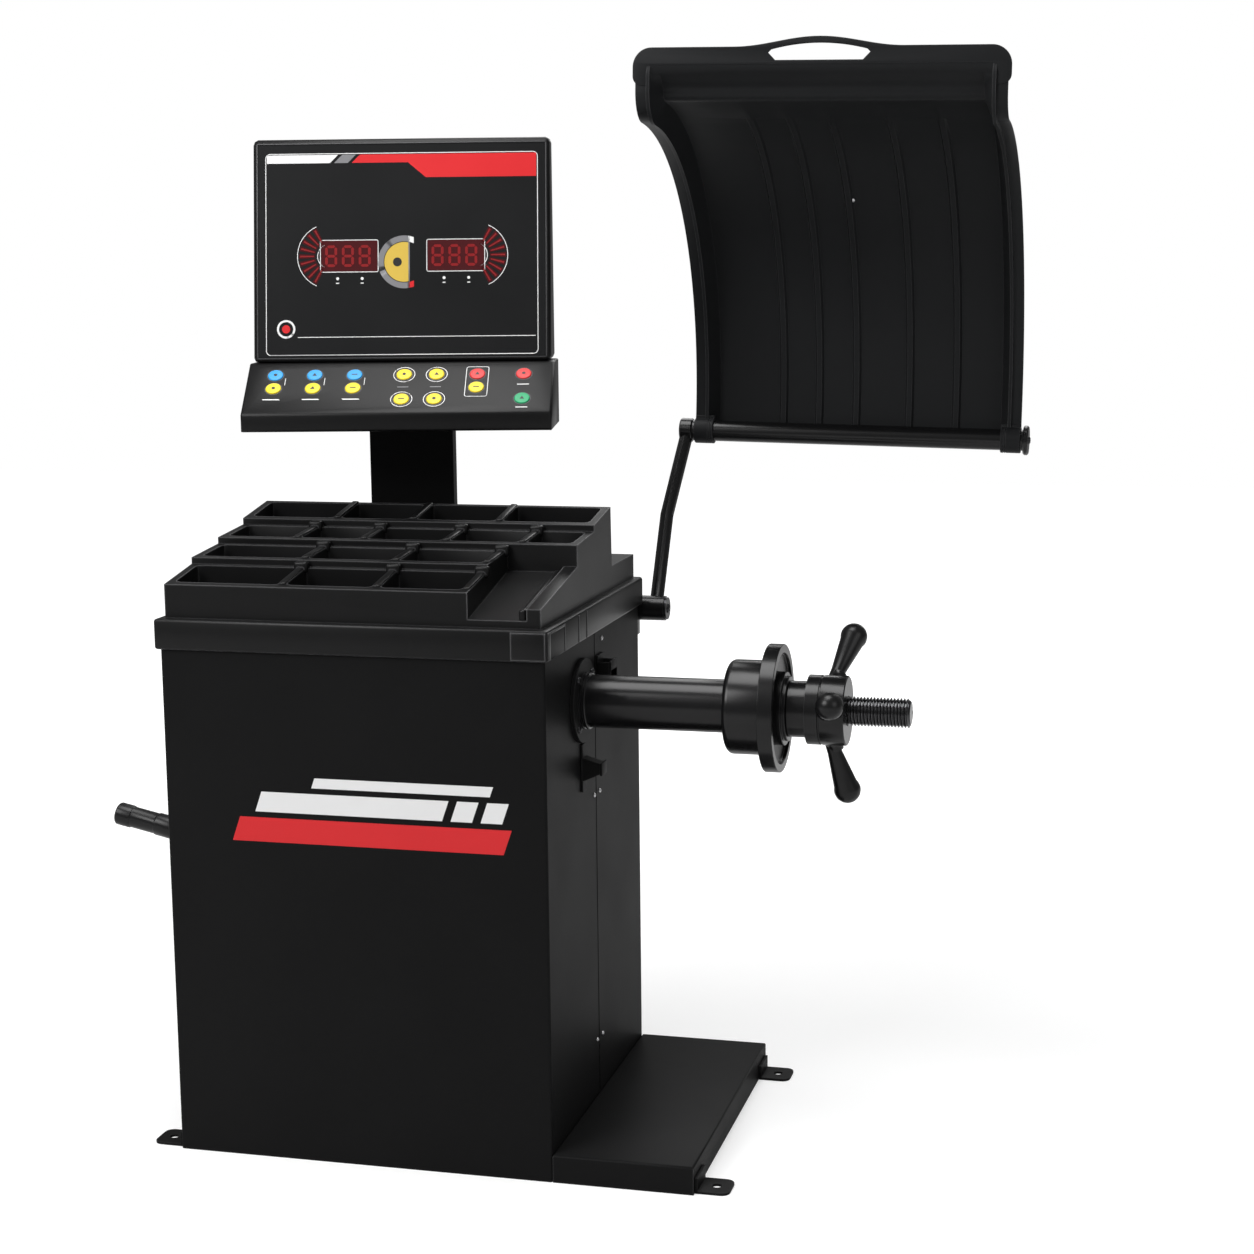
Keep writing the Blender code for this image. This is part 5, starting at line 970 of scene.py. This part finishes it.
def buildScrews():
    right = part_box("cabinet_front_shell")[1][0]
    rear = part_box("cabinet_rear_cover")[1][1]
    for number, (y, z) in enumerate(spots["sides"], 1):
        for name, side in (("rightScrew", 1), ("leftScrew", -1)):
            place = (side * right, y, z)
            addScrew(f"{name}{number}", place, (side, 0, 0), brightScrew, spots["sideRadius"])
    for number in range(4):
        for mark, side in (("L", -1), ("R", 1)):
            height = spots["rearFoot"] + number * spots["rearStep"]
            place = (side * spots["rearAcross"], rear, height)
            addScrew(f"rearScrew{number + 1}{mark}", place, (0, 1, 0))
    face, y, z = rightEnd("housing_side_plate")[0], *axisOf("spindle_housing").translation[1:]
    circle = spots["plateCircle"]
    for number in range(4):
        angle = math.radians(45 + 90 * number)
        place = (face, y + circle * math.cos(angle), z + circle * math.sin(angle))
        addScrew(f"plateScrew{number + 1}", place, (1, 0, 0), screwSteel, *spots["plate"])
    place = rightEnd("hood_end_cap", spots["capSunk"])
    addScrew("endCapScrew", place, (1, 0, spots["capLean"]), screwSteel, *spots["cap"], body="hood")
    addScrew("hoodScrew", spots["hood"], spots["hoodFacing"], brightScrew, spots["hoodRadius"],
             body="hood", slot="hood_plastic")
    place = rightEnd("hood_pivot_shaft")
    addScrew("pivotScrew", place, (1, 0, 0), screwSteel, *spots["pivot"], slot="plain_steel")


buildScrews()
print("screws set")

# Raised bars along the tray's dividers, each ending in a small block against the next riser
tray = {"front": -0.2432, "rowDepth": 0.090, "rims": (0.8033, 0.8283, 0.8453, 0.8623),
        "slopes": (0.016, 0.008, 0.008, 0.016), "barWidth": 0.0104, "barHeight": 0.0026, "barRound": 0.9,
        "frontRim": 0.012, "backGap": 0.0004, "endBlock": (0.0200, 0.0120, 0.0080), "endRound": 0.0036,
        "dividers": ((-0.100, 0.034, 0.1605), (-0.103, 0.030, 0.1605), (-0.150, -0.050, 0.072, 0.184),
                     (-0.124, -0.008, 0.122))}


def buildDividerBars():
    blocks = []
    depth, barHeight = tray["rowDepth"], tray["barHeight"]
    wide, deep, tall = tray["endBlock"]
    for row, places in enumerate(tray["dividers"]):
        rise = tray["slopes"][row]
        tilt = math.atan2(rise, depth)
        start = tray["front"] + row * depth + tray["frontRim"]
        end = tray["front"] + (row + 1) * depth - tray["backGap"]
        middle = (start + end) / 2
        height = tray["rims"][row] + rise * (middle - tray["front"] - row * depth) / depth
        for x in places:
            size = (tray["barWidth"], (end - start) / math.cos(tilt), 2 * barHeight)
            blocks.append((size, (x, middle, height), barHeight * tray["barRound"], tilt))
            if row < len(tray["rims"]) - 1:
                place = (x, end - deep / 2, tray["rims"][row] + rise)
                blocks.append(((wide, deep, 2 * tall), place, tray["endRound"]))
    addBlocks("trayDividerBars", blocks, "tray_plastic")


# Corner plate on the skirt's front right, with a ledge and ribs behind it
skirt = {"proud": 0.0009, "top": 0.7545, "foot": 0.0022, "round": 0.0006, "front": (0.0480, 0.0265),
         "side": (0.0115, 0.0085), "ledge": (0.0700, 0.0030), "ledgeAt": (0.0500, 0.002), "rib": 0.0030,
         "ribs": (0.0840, 0.1540, 0.1950)}


def buildSkirtCorner():
    (_, front, foot), (right, _, _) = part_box("weight_tray")
    thick, top, bottom = 2 * skirt["proud"], skirt["top"], foot + skirt["foot"]
    tall, mid = top - bottom, (top + bottom) / 2
    (width, inward), (depth, back) = skirt["front"], skirt["side"]
    blocks = [((width, thick, tall), (right - inward, front, mid)),
              ((thick, depth, tall), (right, front + back, mid)),
              ((thick, *skirt["ledge"]), (right, front + skirt["ledgeAt"][0], top - skirt["ledgeAt"][1]))]
    blocks += [((thick, skirt["rib"], tall), (right, front + y, mid)) for y in skirt["ribs"]]
    blocks = [(*block, skirt["round"]) for block in blocks]
    addBlocks("skirtCornerRibs", blocks, "tray_plastic", steps=2)


# Slim rail beside the tool recess, ending at the front in a rounded stop
rail = {"x": 0.2400, "front": -0.2350, "back": -0.0680, "width": 0.0072, "height": 0.0200,
            "frontTop": 0.7805, "backTop": 0.8120, "round": 0.0026, "stop": (0.0105, 0.0125, 0.0260),
            "stopBack": 0.001, "stopRise": 0.0018, "stopRound": 0.0040}


def buildToolRail():
    x, front, back, tall = (rail[key] for key in ("x", "front", "back", "height"))
    tilt = math.atan2(rail["backTop"] - rail["frontTop"], back - front)
    bm = bmesh.new()
    length = (back - front) / math.cos(tilt)
    top = (rail["frontTop"] + rail["backTop"]) / 2
    centre = (x, (front + back) / 2, top - tall / 2)
    roundedBlock(bm, (rail["width"], length, tall), centre, rail["round"], tilt)
    stop = rail["stop"]
    centre = (x, front + rail["stopBack"], rail["frontTop"] + rail["stopRise"] - stop[2] / 2)
    roundedBlock(bm, stop, centre, rail["stopRound"], steps=5)
    addShape("trayToolRail", bm, "tray_plastic")


buildDividerBars()
buildSkirtCorner()
buildToolRail()
print("tray trimmed")


# Floor, backdrop and light; each lamp has a place, a size and a power
studio = {"floor": (0.60, 0.60, 0.60), "floorSize": 9.0, "floorRough": 0.7, "nearGlow": 0.48, "farGlow": 1.0,
          "near": 1.2, "far": 3.2, "world": 0.16, "floorShine": 0.32, "worldShine": 0.07,
          "aim": (0.15, 0.0, 0.75)}
lamps = {"keyLamp": ((-2.2, -3.2, 3.4), 2.4, 150.0), "fillLamp": ((3.4, -2.2, 2.2), 2.2, 22.0),
         "rimLamp": ((0.6, 3.0, 3.2), 2.6, 70.0), "topLamp": ((0.0, -0.4, 3.9), 2.0, 90.0)}


# Rays that look straight at the backdrop, and a share of those that see it in a shine
def backdropRays(tree, share):
    path = addNode(tree, "LightPath")
    seen = path["Is Camera Ray"]
    for other in (multiply(tree, path["Is Glossy Ray"], share), path["Is Transmission Ray"]):
        seen = addNode(tree, "Math", {0: seen, 1: other}, operation="MAXIMUM")["Value"]
    return seen


def buildFloor():
    bm = bmesh.new()
    bmesh.ops.create_grid(bm, x_segments=1, y_segments=1, size=studio["floorSize"])
    floor = bpy.data.objects.new("floor", meshFrom(bm, "floor"))
    show(floor)
    material = bpy.data.materials.new("paleFloor")
    material.use_nodes = True
    tree = material.node_tree
    place = addNode(tree, "TexCoord")["Object"]
    away = addNode(tree, "VectorMath", {0: place}, operation="LENGTH")["Value"]
    glow = smoothRamp(tree, away, studio["near"], studio["far"], studio["nearGlow"], studio["farGlow"])
    feed(tree.nodes["Principled BSDF"],
         {"Base Color": (*studio["floor"], 1.0), "Roughness": studio["floorRough"], "Specular IOR Level": 0.0,
          "Emission Color": (1.0, 1.0, 1.0, 1.0),
          "Emission Strength": multiply(tree, glow, backdropRays(tree, studio["floorShine"]))})
    floor.data.materials.append(material)


def buildLight():
    world = bpy.data.worlds.new("studioWorld")
    bpy.context.scene.world = world
    world.use_nodes = True
    tree = world.node_tree
    ends = {"Value": backdropRays(tree, studio["worldShine"]), "To Min": studio["world"], "To Max": 1.0}
    level = addNode(tree, "MapRange", ends)["Result"]
    feed(tree.nodes["Background"], {"Color": (1.0, 1.0, 1.0, 1.0), "Strength": level})
    for name, (place, size, power) in lamps.items():
        lamp = bpy.data.lights.new(name, "AREA")
        lamp.size = size
        lamp.energy = power
        thing = bpy.data.objects.new(name, lamp)
        thing.location = place
        thing.rotation_euler = (Vector(studio["aim"]) - Vector(place)).to_track_quat("-Z", "Y").to_euler()
        show(thing)
    bpy.context.scene.view_settings.view_transform = "Standard"


buildFloor()
buildLight()
print("studio lit")
